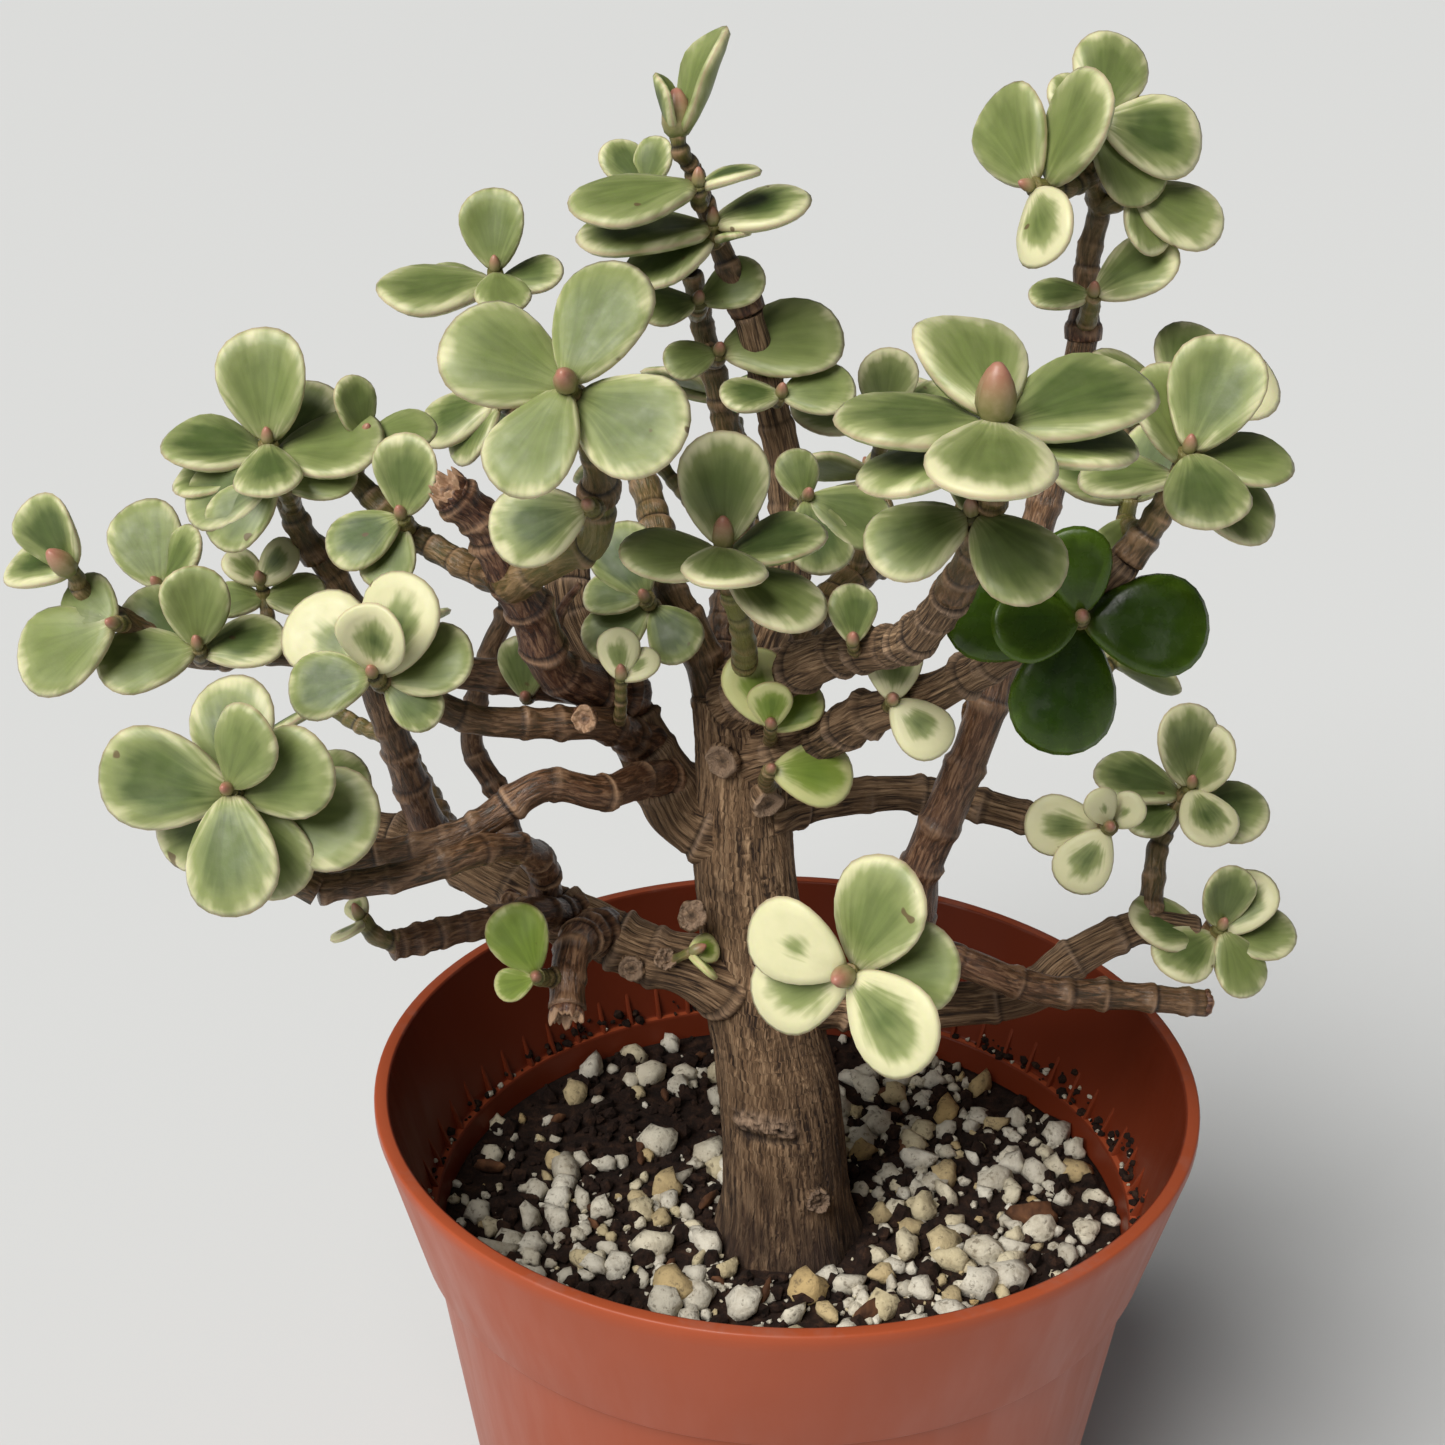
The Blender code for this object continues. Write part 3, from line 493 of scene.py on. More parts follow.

# ---------------------------------------------------------------------------------------------
# The trunk. Old wood, thick and tapering, in grey-brown bark with fine upright fissures, painted
# darker near the soil as painted shade, and with a lumpy scar like a ring where a limb was lost.
# ---------------------------------------------------------------------------------------------
trunk_route = ((1, -5, -9), (0, -4, 15), (-4, -2, 41), (-7, 0, 63), (-8, 2, 81), (-9, 3, 92))
trunk_foot_radius = 11.0 * MM
trunk_top_radius = 6.6 * MM
ring_scar_height = 25 * MM


def on_plant(point):
    """A point given in millimetres from the middle of the soil's surface, in metres."""
    return Vector((point[0] * MM, point[1] * MM, soil_top + point[2] * MM))


def smooth_path(points, step):
    """Points a step apart on a smooth curve through the given ones."""
    path = [points[0]]
    last = len(points) - 1
    for i in range(last):
        a, b = points[i], points[i + 1]
        before = points[i - 1] if i else a * 2 - b
        after = points[i + 2] if i + 2 <= last else b * 2 - a
        count = max(1, round((b - a).length / step))
        for k in range(1, count + 1):
            t = k / count
            bend = before * 2 - a * 5 + b * 4 - after
            twist = a * 3 - before - b * 3 + after
            path.append(a + (b - before) * (0.5 * t) + bend * (0.5 * t * t) + twist * (0.5 * t ** 3))
    return path


def bent_tube(name, path, radii, sides):
    """An open tube round a path, with its own radius at each point; sides is even."""
    curve = bpy.data.curves.new(name, "CURVE")
    curve.dimensions = "3D"
    curve.bevel_depth = 1.0
    curve.bevel_resolution = (sides - 4) // 2
    curve.use_fill_caps = False
    spline = curve.splines.new("POLY")
    spline.points.add(len(path) - 1)
    for point, centre, radius in zip(spline.points, path, radii):
        point.co = (*centre, 1.0)
        point.radius = radius
    made = bpy.data.objects.new(name, curve)
    bpy.context.scene.collection.objects.link(made)
    select_only(made)
    bpy.ops.object.convert(target="MESH")
    return bpy.context.object


def close_ends(piece):
    select_only(piece)
    bpy.ops.object.mode_set(mode="EDIT")
    bpy.ops.mesh.select_all(action="SELECT")
    bpy.ops.mesh.fill_holes(sides=0)
    bpy.ops.object.mode_set(mode="OBJECT")


def lengths_along(path):
    along = [0.0]
    for a, b in zip(path, path[1:]):
        along.append(along[-1] + (b - a).length)
    return along


def mark_bark(piece, marks, runs):
    """Stores the groove, scar and youth of the bark, and its place round and along the wood."""
    layer = piece.data.color_attributes.new("bark_marks", "FLOAT_COLOR", "POINT")
    for item, mark in zip(layer.data, marks):
        item.color = (*mark, 1)
    layer = piece.data.attributes.new("bark_run", "FLOAT_VECTOR", "POINT")
    for item, run in zip(layer.data, runs):
        item.vector = run


trunk_path = smooth_path([on_plant(point) for point in trunk_route], 0.5 * MM)
trunk_along = lengths_along(trunk_path)
trunk_radii = []
for s in trunk_along:
    share = s / trunk_along[-1]
    radius = trunk_foot_radius + (trunk_top_radius - trunk_foot_radius) * share ** 0.9
    radius *= 1 + 0.10 * math.exp(-(s / (9 * MM)) ** 2)
    trunk_radii.append(radius)
trunk_sides = 68
trunk = bent_tube("trunk_bark", trunk_path, trunk_radii, trunk_sides)
close_ends(trunk)
finer = trunk.modifiers.new("Finer", "SUBSURF")
finer.levels = 1
finer.render_levels = 1
apply_all(trunk)
trunk_marks = []
trunk_runs = []
for vert in trunk.data.vertices:
    height = vert.co.z - soil_top
    nearest = min(range(0, len(trunk_path), 4), key=lambda k: abs(trunk_path[k].z - vert.co.z))
    centre = Vector((trunk_path[nearest].x, trunk_path[nearest].y, vert.co.z))
    out = vert.co - centre
    trunk_runs.append((out.x, out.y, height))
    if out.length < 3 * MM or height > 91 * MM:
        trunk_marks.append((0, 0, 0))
        continue
    way = out.normalized()
    wave = 0.35 * math.sin(height * 260) + 0.3 * math.sin(height * 610 + 2)
    turn = math.atan2(way.y, way.x) + 0.05 * wave
    ridge = noise.noise(Vector((math.cos(turn) * 12, math.sin(turn) * 12, height * 130)))
    ridge += 0.6 * noise.noise(Vector((math.cos(turn) * 26, math.sin(turn) * 26, height * 260)))
    swell = noise.noise(Vector((math.cos(turn) * 1.1, math.sin(turn) * 1.1, height * 55)))
    across = (math.atan2(way.y, way.x) + 1.85) / 0.62
    off = (height - ring_scar_height - 0.5 * MM * math.sin(6 * turn)) / (1.7 * MM)
    scar = max(0.0, 1 - across ** 6) * math.exp(-off ** 4) if abs(across) < 1 else 0.0
    knobbly = 0.5 + noise.noise(vert.co * 1100) + 0.5 * noise.noise(vert.co * 2300)
    rim = math.exp(-((height - ring_scar_height + 2.6 * MM) / (0.7 * MM)) ** 2)
    rim *= max(0.0, 1 - (across / 1.15) ** 4) if abs(across) < 1.15 else 0.0
    change = 0.24 * ridge * (1 - scar) + 0.65 * swell + 0.9 * scar * knobbly - 0.45 * rim
    flare = 1.6 * math.exp(-max(0.0, height) / (5 * MM)) * (0.5 + 0.5 * math.sin(5 * turn + 0.6))
    vert.co += way * ((change + flare) * MM)
    pit = max(0.0, min(1.0, 0.55 - knobbly)) * scar
    trunk_marks.append((min(1, 0.7 * rim + 1.6 * pit), scar * min(1, max(0, knobbly + 0.3)), 0.0))
mark_bark(trunk, trunk_marks, trunk_runs)


def bark_finish(name, dark, mid, light, line, scar_colour, green, scale, stretch):
    """Bark with fissures along the wood. Grooves at the joints are dark, and scars are pale."""
    made = finish(name, 0.85, 0.4)
    run = add(made, "Attribute", attribute_name="bark_run").outputs["Vector"]
    marks = painted(made, "bark_marks")
    along = add(made, "Mapping", {"Vector": run, "Scale": (1, 1, stretch)}).outputs["Vector"]
    fissure = add(made, "TexNoise", {"Vector": along, "Scale": scale, "Detail": 5.0, "Roughness": 0.62,
                                     "Distortion": 0.8}).outputs["Fac"]
    mottle = grain(made, place_of(made), 150, 4, rough=0.6)
    base = ramp(made, fissure, (0.38, dark), (0.49, mid), (0.62, light))
    base = blended(made, ramp(made, mottle, (0.45, 0.0), (0.75, 0.6)), base, mid)
    base = blended(made, ramp(made, mottle, (0.28, 0.6), (0.42, 0.0)), base, dark)
    base = blended(made, marks["Blue"], base, green)
    base = blended(made, marks["Green"], base, scar_colour)
    base = blended(made, marks["Red"], base, line)
    return made, place_of(made), base, fissure


old_bark, spot, colour, fissure = bark_finish(
    "old_bark", (0.026, 0.012, 0.006), (0.200, 0.115, 0.058), (0.450, 0.290, 0.165),
    (0.012, 0.007, 0.005), (0.40, 0.27, 0.18), (0.12, 0.10, 0.05), 1600, 0.08)
# Painted shade: towards the soil the bark is darkened in patches, for the shade at the trunk's foot.
foot_shade_height = 36 * MM
level = add(old_bark, "SeparateXYZ", {"Vector": spot}).outputs["Z"]
foot_shade = between(old_bark, level, soil_top + 1 * MM, soil_top + foot_shade_height, 0.9, 0.0)
patchy = ramp(old_bark, grain(old_bark, spot, 110, 4), (0.35, 0.45), (0.6, 1.0))
foot_shade = reckoned(old_bark, "MULTIPLY", foot_shade, patchy)
feed(old_bark, Base_Color=blended(old_bark, foot_shade, colour, (0.022, 0.009, 0.005)),
     Roughness=ramp(old_bark, fissure, (0.3, 0.72), (0.7, 0.95)))
bumped(old_bark, fissure, 1.0, 0.0013)
dressed(trunk, old_bark, "old_bark", "trunk")

# ---------------------------------------------------------------------------------------------
# The limbs. Bare woody stems that leave the trunk and each other with a swollen collar. Each is
# jointed like a cane: a groove at every joint, and beside it the two round scars of lost leaves.
# ---------------------------------------------------------------------------------------------


def grow_stem(name, points, foot, tip, gap, youth, collar=0.4, sides=16, step=0.5 * MM, knots=1.0):
    """A closed jointed stem. gap is between joints at its foot and tip, and youth runs from
    0 for grey wood to 1 for a green shoot."""
    path = smooth_path(points, step)
    along = lengths_along(path)
    length = along[-1]
    chance = random.Random(name)
    turn_of_first = chance.uniform(0, math.pi)
    joints = []
    place = gap[0] * chance.uniform(0.4, 0.9)
    while place < length + gap[1]:
        joints.append((place, chance.uniform(0.5, 1.2)))
        place += (gap[0] + (gap[1] - gap[0]) * min(1, place / length)) * chance.uniform(0.65, 1.35)
    offset = chance.uniform(0, 50)
    radii = []
    near = []
    for s in along:
        share = s / length
        radius = foot + (tip - foot) * share
        if collar:
            radius *= 1 + collar * math.exp(-(s / (1.5 * foot)) ** 2)
        k = min(range(len(joints)), key=lambda j: abs(joints[j][0] - s))
        off = s - joints[k][0]
        bold = joints[k][1] * knots
        flare = math.exp(-((off + 0.5 * MM) / (1.1 * MM)) ** 2)
        groove = math.exp(-((off - 0.35 * MM) / (0.24 * MM)) ** 2)
        pale = math.exp(-((off + 0.25 * MM) / (0.24 * MM)) ** 2)
        waver = noise.noise(Vector((s * 140, offset, 0)))
        radius *= 1 + bold * (0.15 * flare - 0.10 * groove) + 0.05 * waver
        radii.append(radius)
        near.append((k, off, bold, groove, pale))
    stem = bent_tube(name, path, radii, sides)
    marks = []
    runs = []
    for i, vert in enumerate(stem.data.vertices):
        ring, side = divmod(i, sides)
        centre = path[ring]
        s = along[ring]
        share = s / length
        k, off, bold, groove, pale = near[ring]
        turn = 2 * math.pi * side / sides
        facing = abs(math.cos(turn - turn_of_first - k * math.pi / 2))
        scar = facing ** 10 * math.exp(-((off + 0.9 * MM) / (0.65 * MM)) ** 2) * bold
        pit = facing ** 30 * math.exp(-((off + 0.9 * MM) / (0.25 * MM)) ** 2)
        crease = noise.noise(Vector((math.cos(turn) * 3.2, math.sin(turn) * 3.2, s * 130 + offset)))
        bulge = noise.noise(Vector((math.cos(turn) * 0.9, math.sin(turn) * 0.9, s * 170 + offset)))
        age = max(0.0, min(1.0, youth[0] + (youth[1] - youth[0]) * share))
        broken = 0.55 + 0.45 * math.cos(2 * turn + offset)
        change = 0.05 * crease * (1.2 - age) + 0.11 * bulge + 0.18 * scar - 0.12 * pit
        vert.co = centre + (vert.co - centre) * (1 + change)
        scarred = (0.8 * scar + 0.85 * bold * pale * broken) * (1 - pit)
        marks.append((min(1, 0.85 * bold * groove), min(1, scarred), age))
        runs.append((math.cos(turn) * foot, math.sin(turn) * foot, s + offset))
    mark_bark(stem, marks, runs)
    close_ends(stem)
    return stem


young_bark, spot, colour, fissure = bark_finish(
    "young_bark", (0.020, 0.007, 0.004), (0.092, 0.036, 0.018), (0.240, 0.130, 0.072),
    (0.008, 0.004, 0.003), (0.36, 0.22, 0.13), (0.165, 0.170, 0.042), 1500, 0.22)
feed(young_bark, Base_Color=colour)
young_bark.node_tree.nodes["Principled BSDF"].inputs["Roughness"].default_value = 0.38
bumped(young_bark, fissure, 0.8, 0.0005)

grey_limbs = (
    ("limb_low_left", 5.0, 3.2,
     ((-7, -2, 44), (-15, -5, 49), (-23, -4, 51), (-31, -2, 54), (-45, 4, 58), (-56, 10, 61),
      (-71, 16, 62))),
    ("limb_up_left", 5.4, 2.7,
     ((-8, 1, 69), (-16, 2, 72), (-20, 2, 79), (-24, 3, 85), (-28, 5, 93), (-33, 8, 101),
      (-34, 12, 107), (-33, 16, 114))),
    ("limb_low_right", 4.6, 2.3,
     ((-3, -2, 41), (7, 0, 40), (14, 0, 39), (30, 0, 40), (38, 0, 42), (43, 2, 46), (50, 3, 50),
      (56, 4, 52), (64, 4, 51))),
    ("limb_right", 3.3, 2.3,
     ((-5, 0, 73), (3, 4, 73), (9, 6, 73), (17, 7, 73), (26, 7, 72), (33, 5, 71), (41, 2, 70))),
    ("limb_mid_right", 3.6, 2.0,
     ((-6, 0, 83), (3, -10, 90), (8, -18, 97), (14, -23, 102), (19, -27, 106), (26, -34, 114),
      (34, -38, 122), (40, -40, 130))),
    ("limb_front_right", 3.9, 2.2,
     ((-8, 0, 92), (0, -16, 104), (6, -26, 111), (11, -34, 115), (14, -44, 121), (17, -54, 131))),
    ("leader_top", 3.8, 2.1,
     ((-9, 3, 90), (-5, 8, 98), (-1, 12, 109), (-2, 14, 123), (-5, 14, 136), (-8, 12, 147))),
)
for name, foot, tip, route in grey_limbs:
    limb = grow_stem(name + "_bark", [on_plant(point) for point in route], foot * MM, tip * MM,
                     (9.5 * MM, 5.5 * MM), (0.0, 0.05), collar=0.45, sides=24)
    dressed(limb, old_bark, "old_bark", name)

brown_limbs = (
    ("leader_right", 3.5, 2.1, 0.0, 0.1,
     ((16, 0, 39), (18, -6, 53), (19, -8, 68), (23, -8, 80), (27, -6, 91), (30, -2, 101),
      (34, 4, 116), (38, 8, 131), (40, 11, 144))),
    ("stem_ringed", 2.6, 2.0, 0.0, 0.12,
     ((18, -6, 54), (22, -12, 56), (29, -14, 54), (38, -14, 51), (51, -14, 50), (62, -14, 49))),
    ("limb_left_rise", 2.9, 1.9, 0.0, 0.2,
     ((-55, 9, 60), (-58, 6, 73), (-60, 4, 82), (-62, 3, 90), (-64, 2, 100), (-66, 0, 108),
      (-69, -1, 114))),
    ("stem_thin_left", 1.9, 1.5, 0.0, 0.15,
     ((-42, 3, 57), (-45, 12, 68), (-50, 16, 77), (-47, 18, 91), (-44, 18, 98), (-43, 20, 106))),
    ("limb_twin_lower", 2.3, 1.9, 0.0, 0.1,
     ((-38, 1, 56), (-37, -12, 70), (-39, -24, 79), (-44, -32, 83), (-51, -36, 82),
      (-59, -38, 81), (-65, -40, 81))),
    ("limb_twin_upper", 2.6, 2.0, 0.0, 0.1,
     ((-19, 2, 78), (-23, -10, 83), (-28, -18, 85), (-36, -22, 88), (-45, -25, 83),
      (-52, -27, 81), (-60, -29, 80), (-65, -30, 79))),
    ("limb_far_left", 2.8, 1.8, 0.0, 0.2,
     ((-26, 4, 88), (-31, 0, 93), (-38, -2, 95), (-46, -4, 97), (-63, -7, 100), (-74, -8, 102),
      (-85, -10, 102), (-90, -12, 105))),
    ("limb_left_mid", 2.7, 1.9, 0.0, 0.15,
     ((-23, 2, 84), (-28, -10, 92), (-33, -14, 94), (-44, -18, 96), (-50, -20, 99),
      (-56, -22, 103))),
    ("limb_dark_left", 3.5, 2.7, 0.0, 0.0,
     ((-26, 4, 90), (-30, -6, 96), (-35, -12, 102), (-37, -16, 111), (-40, -20, 119),
      (-43, -22, 127), (-47, -24, 132))),
    ("limb_high_left", 2.3, 2.1, 0.2, 0.75,
     ((-40, -20, 118), (-32, -26, 124), (-28, -28, 127), (-27, -31, 134))),
)
for name, foot, tip, young_foot, young_tip, route in brown_limbs:
    limb = grow_stem(name + "_bark", [on_plant(point) for point in route], foot * MM, tip * MM,
                     (8.5 * MM, 5.5 * MM), (young_foot, young_tip), collar=0.45, sides=20)
    dressed(limb, young_bark, "young_bark", name)

# ---------------------------------------------------------------------------------------------
# The leaves and buds. A leaf is a fleshy oval on a short stalk, grey-green with an irregular
# cream margin and a thin pink edge. A bud is a pair of small leaves pressed face to face.
# ---------------------------------------------------------------------------------------------
leaf_spacing = 2.2 * MM
leaf_width = 0.84


def model_leaf():
    """A unit ball, with a flat map from above, that each leaf is shaped from."""
    bpy.ops.object.select_all(action="DESELECT")
    bpy.ops.mesh.primitive_uv_sphere_add(segments=26, ring_count=8, radius=1)
    made = bpy.context.object
    flat = made.data.uv_layers[0]
    flat.name = "leaf_map"
    for corner, item in zip(made.data.loops, flat.data):
        place = made.data.vertices[corner.vertex_index].co
        item.uv = (0.5 + 0.5 * place.x, 0.5 + 0.5 * place.y)
    return made


leaf_model = model_leaf()


def grow_leaf(base, direction, normal, length, look, cup, droop, slim=1.0):
    """A leaf of its own: cupped across, drooped towards its tip, and a little uneven."""
    made = bpy.data.objects.new("leaf", leaf_model.data.copy())
    bpy.context.scene.collection.objects.link(made)
    side = direction.cross(normal)
    thickness = 0.8 * MM + 0.085 * length
    for vert in made.data.vertices:
        x, y, z = vert.co
        t = 0.5 * (1 + y)
        uneven = 1 + 0.05 * noise.noise(Vector((x * 1.3, y * 1.3, look[2] * 90)))
        breadth = 0.5 * leaf_width * slim * length * x * (0.58 + 0.80 * t - 0.22 * t * t) * uneven
        height = 0.5 * thickness * math.copysign(abs(z) ** 0.4, z) * (0.85 + 0.3 * (1 - t))
        bend = cup * breadth * breadth / length - droop * length * t * t
        bend += 0.035 * length * noise.noise(Vector((x * 1.1 + 7, y * 1.1, look[2] * 70)))
        vert.co = base + direction * (t * length) + side * breadth + normal * (height + bend)
    layer = made.data.color_attributes.new("leaf_look", "FLOAT_COLOR", "POINT")
    for item in layer.data:
        item.color = (*look, 1)
    return made


def leaf_finish(name, core, pale, cream, edge_pink, gloss):
    """A leaf's skin: the core colour breaks up in streaks towards a paler and a cream margin."""
    made = finish(name, gloss, 0.35)
    uv = add(made, "UVMap", uv_map="leaf_map").outputs["UV"]
    look = painted(made, "leaf_look")
    spread = add(made, "VectorMath", {0: uv, 1: (0.5, 0.5, 0.0)}, operation="SUBTRACT")
    flat = add(made, "VectorMath", {0: spread.outputs["Vector"], 1: (2.0, 2.0, 0.0)}, operation="MULTIPLY")
    reach = add(made, "VectorMath", {0: flat.outputs["Vector"]}, operation="LENGTH").outputs["Value"]
    parts = add(made, "SeparateXYZ", {"Vector": flat.outputs["Vector"]}).outputs
    seed = reckoned(made, "MULTIPLY", look["Blue"], 40.0)
    fan = reckoned(made, "ARCTAN2", parts["X"], reckoned(made, "ADD", parts["Y"], 1.35))
    fan_at = add(made, "CombineXYZ", {"X": reckoned(made, "MULTIPLY", fan, 7.0), "Y": reach, "Z": seed})
    streaks = add(made, "TexNoise", {"Vector": fan_at.outputs["Vector"], "Scale": 1.1, "Detail": 2.5,
                                     "Roughness": 0.55}).outputs["Fac"]
    blot_at = add(made, "CombineXYZ", {"X": parts["X"], "Y": parts["Y"], "Z": seed})
    blots = add(made, "TexNoise", {"Vector": blot_at.outputs["Vector"], "Scale": 1.6,
                                   "Detail": 2.0}).outputs["Fac"]
    ragged = reckoned(made, "ADD", reckoned(made, "ADD", streaks, blots), -1.0)
    edge = reckoned(made, "ADD", reckoned(made, "MULTIPLY_ADD", ragged, 0.46, reach), look["Red"])
    in_pale = between(made, edge, 0.42, 0.96, interpolation_type="SMOOTHSTEP")
    in_cream = between(made, edge, 0.82, 1.10, interpolation_type="SMOOTHSTEP")
    greens = blended(made, look["Green"], core[0], core[1])
    dashes = ramp(made, streaks, (0.38, 0.90), (0.62, 1.12))
    greens = blended(made, 1.0, greens, dashes, "MULTIPLY")
    colour = blended(made, in_pale, greens, pale)
    colour = blended(made, in_cream, colour, cream)
    in_edge = reckoned(made, "MULTIPLY", between(made, reach, 0.955, 0.995), 0.5)
    colour = blended(made, in_edge, colour, edge_pink)
    at_stalk = between(made, parts["Y"], -0.98, -0.80, 0.7, 0.0)
    colour = blended(made, at_stalk, colour, (0.20, 0.17, 0.06))
    spot = place_of(made)
    bloom = ramp(made, grain(made, spot, 420, 4), (0.35, 0.0), (0.8, 0.12))
    colour = blended(made, bloom, colour, pale)
    flaw_at = add(made, "VectorMath", {0: spot, 1: (330.0, 330.0, 330.0)}, operation="MULTIPLY")
    flaw = add(made, "TexNoise", {"Vector": flaw_at.outputs["Vector"], "Scale": 1.0,
                                  "Detail": 1.0}).outputs["Fac"]
    colour = blended(made, ramp(made, flaw, (0.765, 0.0), (0.79, 0.8)), colour, (0.10, 0.055, 0.025))
    feed(made, Base_Color=colour, Roughness=ramp(made, grain(made, spot, 500, 3), (0.3, gloss - 0.08),
                                                 (0.75, gloss + 0.12)))
    bumped(made, grain(made, spot, 1400, 3), 0.12, 0.0002)
    shader = made.node_tree.nodes["Principled BSDF"]
    shader.inputs["Subsurface Weight"].default_value = 0.18
    shader.inputs["Subsurface Radius"].default_value = (0.6, 1.0, 0.25)
    shader.inputs["Subsurface Scale"].default_value = 0.0012
    return made


variegated = leaf_finish("leaf_variegated", ((0.055, 0.086, 0.020), (0.155, 0.194, 0.056)),
                         (0.245, 0.280, 0.105), (0.620, 0.595, 0.360), (0.42, 0.24, 0.18), 0.46)
lime = leaf_finish("leaf_young", ((0.120, 0.190, 0.022), (0.180, 0.250, 0.036)),
                   (0.230, 0.300, 0.055), (0.560, 0.560, 0.250), (0.42, 0.20, 0.14), 0.42)
plain_green = leaf_finish("leaf_plain_green", ((0.014, 0.036, 0.001), (0.040, 0.080, 0.003)),
                          (0.030, 0.060, 0.002), (0.06, 0.11, 0.008), (0.07, 0.12, 0.01), 0.26)
bud_skin = finish("bud_skin", 0.42)
bud_colour = ramp(bud_skin, painted(bud_skin, "leaf_look")["Red"], (0.1, (0.15, 0.17, 0.05)),
                  (0.5, (0.23, 0.18, 0.075)), (0.95, (0.37, 0.150, 0.105)))
bud_mottle = ramp(bud_skin, grain(bud_skin, place_of(bud_skin), 900, 3), (0.4, 0.0), (0.8, 0.4))
feed(bud_skin, Base_Color=blended(bud_skin, bud_mottle, bud_colour, (0.42, 0.32, 0.20)))


def grow_bud(tip, axis, across, size):
    """Two young leaves pressed face to face in one egg shape, with a crease where they meet."""
    made = bpy.data.objects.new("bud", leaf_model.data.copy())
    bpy.context.scene.collection.objects.link(made)
    other = axis.cross(across)
    layer = made.data.color_attributes.new("leaf_look", "FLOAT_COLOR", "POINT")
    for vert, item in zip(made.data.vertices, layer.data):
        x, y, z = vert.co
        item.color = (0.5 + 0.5 * z, 0, 0, 1)
        crease = 1 - 0.16 * math.exp(-(y / 0.16) ** 2) * (0.4 + 0.6 * abs(x))
        girth = 0.30 * size * (1 - 0.28 * z) * crease
        vert.co = tip + axis * (size * (0.36 + 0.5 * z)) + across * (girth * x) + other * (girth * y)
    return made


def heading(angle, rise):
    turn = math.radians(angle)
    lift = math.radians(rise)
    return Vector((math.cos(lift) * math.cos(turn), math.cos(lift) * math.sin(turn), math.sin(lift)))


def point_along(points, share):
    """The point a share of the way along a route."""
    lengths = [(b - a).length for a, b in zip(points, points[1:])]
    left = share * sum(lengths)
    for i, length in enumerate(lengths):
        if left <= length:
            return points[i].lerp(points[i + 1], left / length)
        left -= length
    return points[-1].copy()


def grow_head(name, below, foot, tip, axis, radius, leaves, chance):
    """A head's short stem and its leaves, two at each joint from the tip down, with a bud."""
    middle = tip - axis * (0.5 * (tip - foot).length)
    route = [foot, foot * 0.25 + middle * 0.5 + tip * 0.25, tip]
    stem = grow_stem(name, route, radius, 0.85 * radius, (2.8 * MM, 2.2 * MM), (0.3, 0.75), collar=0,
                     sides=12)
    way_down = list(reversed(below + route))
    length_down = sum((b - a).length for a, b in zip(way_down, way_down[1:]))
    spacing = min(leaf_spacing, 1.6 * length_down / (len(leaves) + 1))
    right = Vector((1, 0, 0))
    right = (right - axis * right.dot(axis)).normalized()
    upward = axis.cross(right)

    def around(turn, lift):
        outward = right * math.cos(turn) + upward * math.sin(turn)
        direction = outward * math.cos(lift) + axis * math.sin(lift)
        normal = axis * math.cos(lift) - outward * math.sin(lift)
        return outward, direction, normal

    blades = []
    for i, (turn, lift, length, *cream) in enumerate(leaves):
        sway = chance.uniform(-4, 4)
        outward, direction, normal = around(math.radians(turn + sway), math.radians(lift + 0.5 * sway))
        normal.rotate(Matrix.Rotation(math.radians(chance.uniform(-11, 11)), 3, direction))
        joint = point_along(way_down, (0.6 * MM + spacing * (i // 2)) / length_down)
        base = joint + outward * (radius - 1.0 * MM)
        upright = lift > 45
        margin = cream[0] if cream else chance.choice((-0.08, -0.02, 0.03, 0.07, 0.14))
        look = (margin, chance.random(), chance.random())
        cup = chance.uniform(0.5, 1.0) if upright and length > 8 else chance.uniform(-0.15, 0.35)
        droop = chance.uniform(-0.04, 0.04) if upright else chance.uniform(-0.02, 0.12)
        blades.append(grow_leaf(base, direction, normal, length * MM, look, cup, droop,
                                chance.uniform(0.96, 1.06)))
    across = around(math.radians(leaves[0][0]) + math.pi / 2, 0)[0]
    size = bud_sizes.get(name.rpartition("_head_")[0] if name.endswith("_0") else "", 3.0)
    return stem, blades, grow_bud(tip, axis, across, size * MM)


bud_sizes = {"sprig_front_right": 7.4, "sprig_top": 7.0, "sprig_low_front": 5.0, "sprig_centre": 5.0,
             "sprig_high_left": 5.0, "sprig_left_end": 5.5}
all_buds = []


def grow_sprig(name, foot_radius, tip_radius, route, heads, slot="leaf_skin", skin=variegated,
               youth=(0.1, 0.5)):
    """A leafy sprig on its own young stem, in a piece of bark and a piece of leaves."""
    points = [on_plant(point) for point in route]
    chance = random.Random(name)
    stems = []
    blades = []
    if len(points) > 1:
        stems.append(grow_stem(name + "_shoot", points, foot_radius * MM, tip_radius * MM,
                               (5.0 * MM, 3.2 * MM), youth, collar=0.3, sides=16))
    for i, (share, place, (turn, rise), leaves) in enumerate(heads):
        foot = point_along(points, share) if len(points) > 1 else points[0]
        below = points[:-1] if share == 1 else []
        radius = min(tip_radius, 1.4) * MM
        stem, some, bud = grow_head(f"{name}_head_{i}", below, foot, on_plant(place),
                                     heading(turn, rise), radius, leaves, chance)
        stems.append(stem)
        blades += some
        all_buds.append(bud)
    bark = joined(name + "_stem", stems)
    dressed(bark, young_bark, slot if slot == "green_leaf_skin" else "young_bark", name)
    foliage = joined(name + "_leaves", blades)
    dressed(foliage, skin, slot, name)


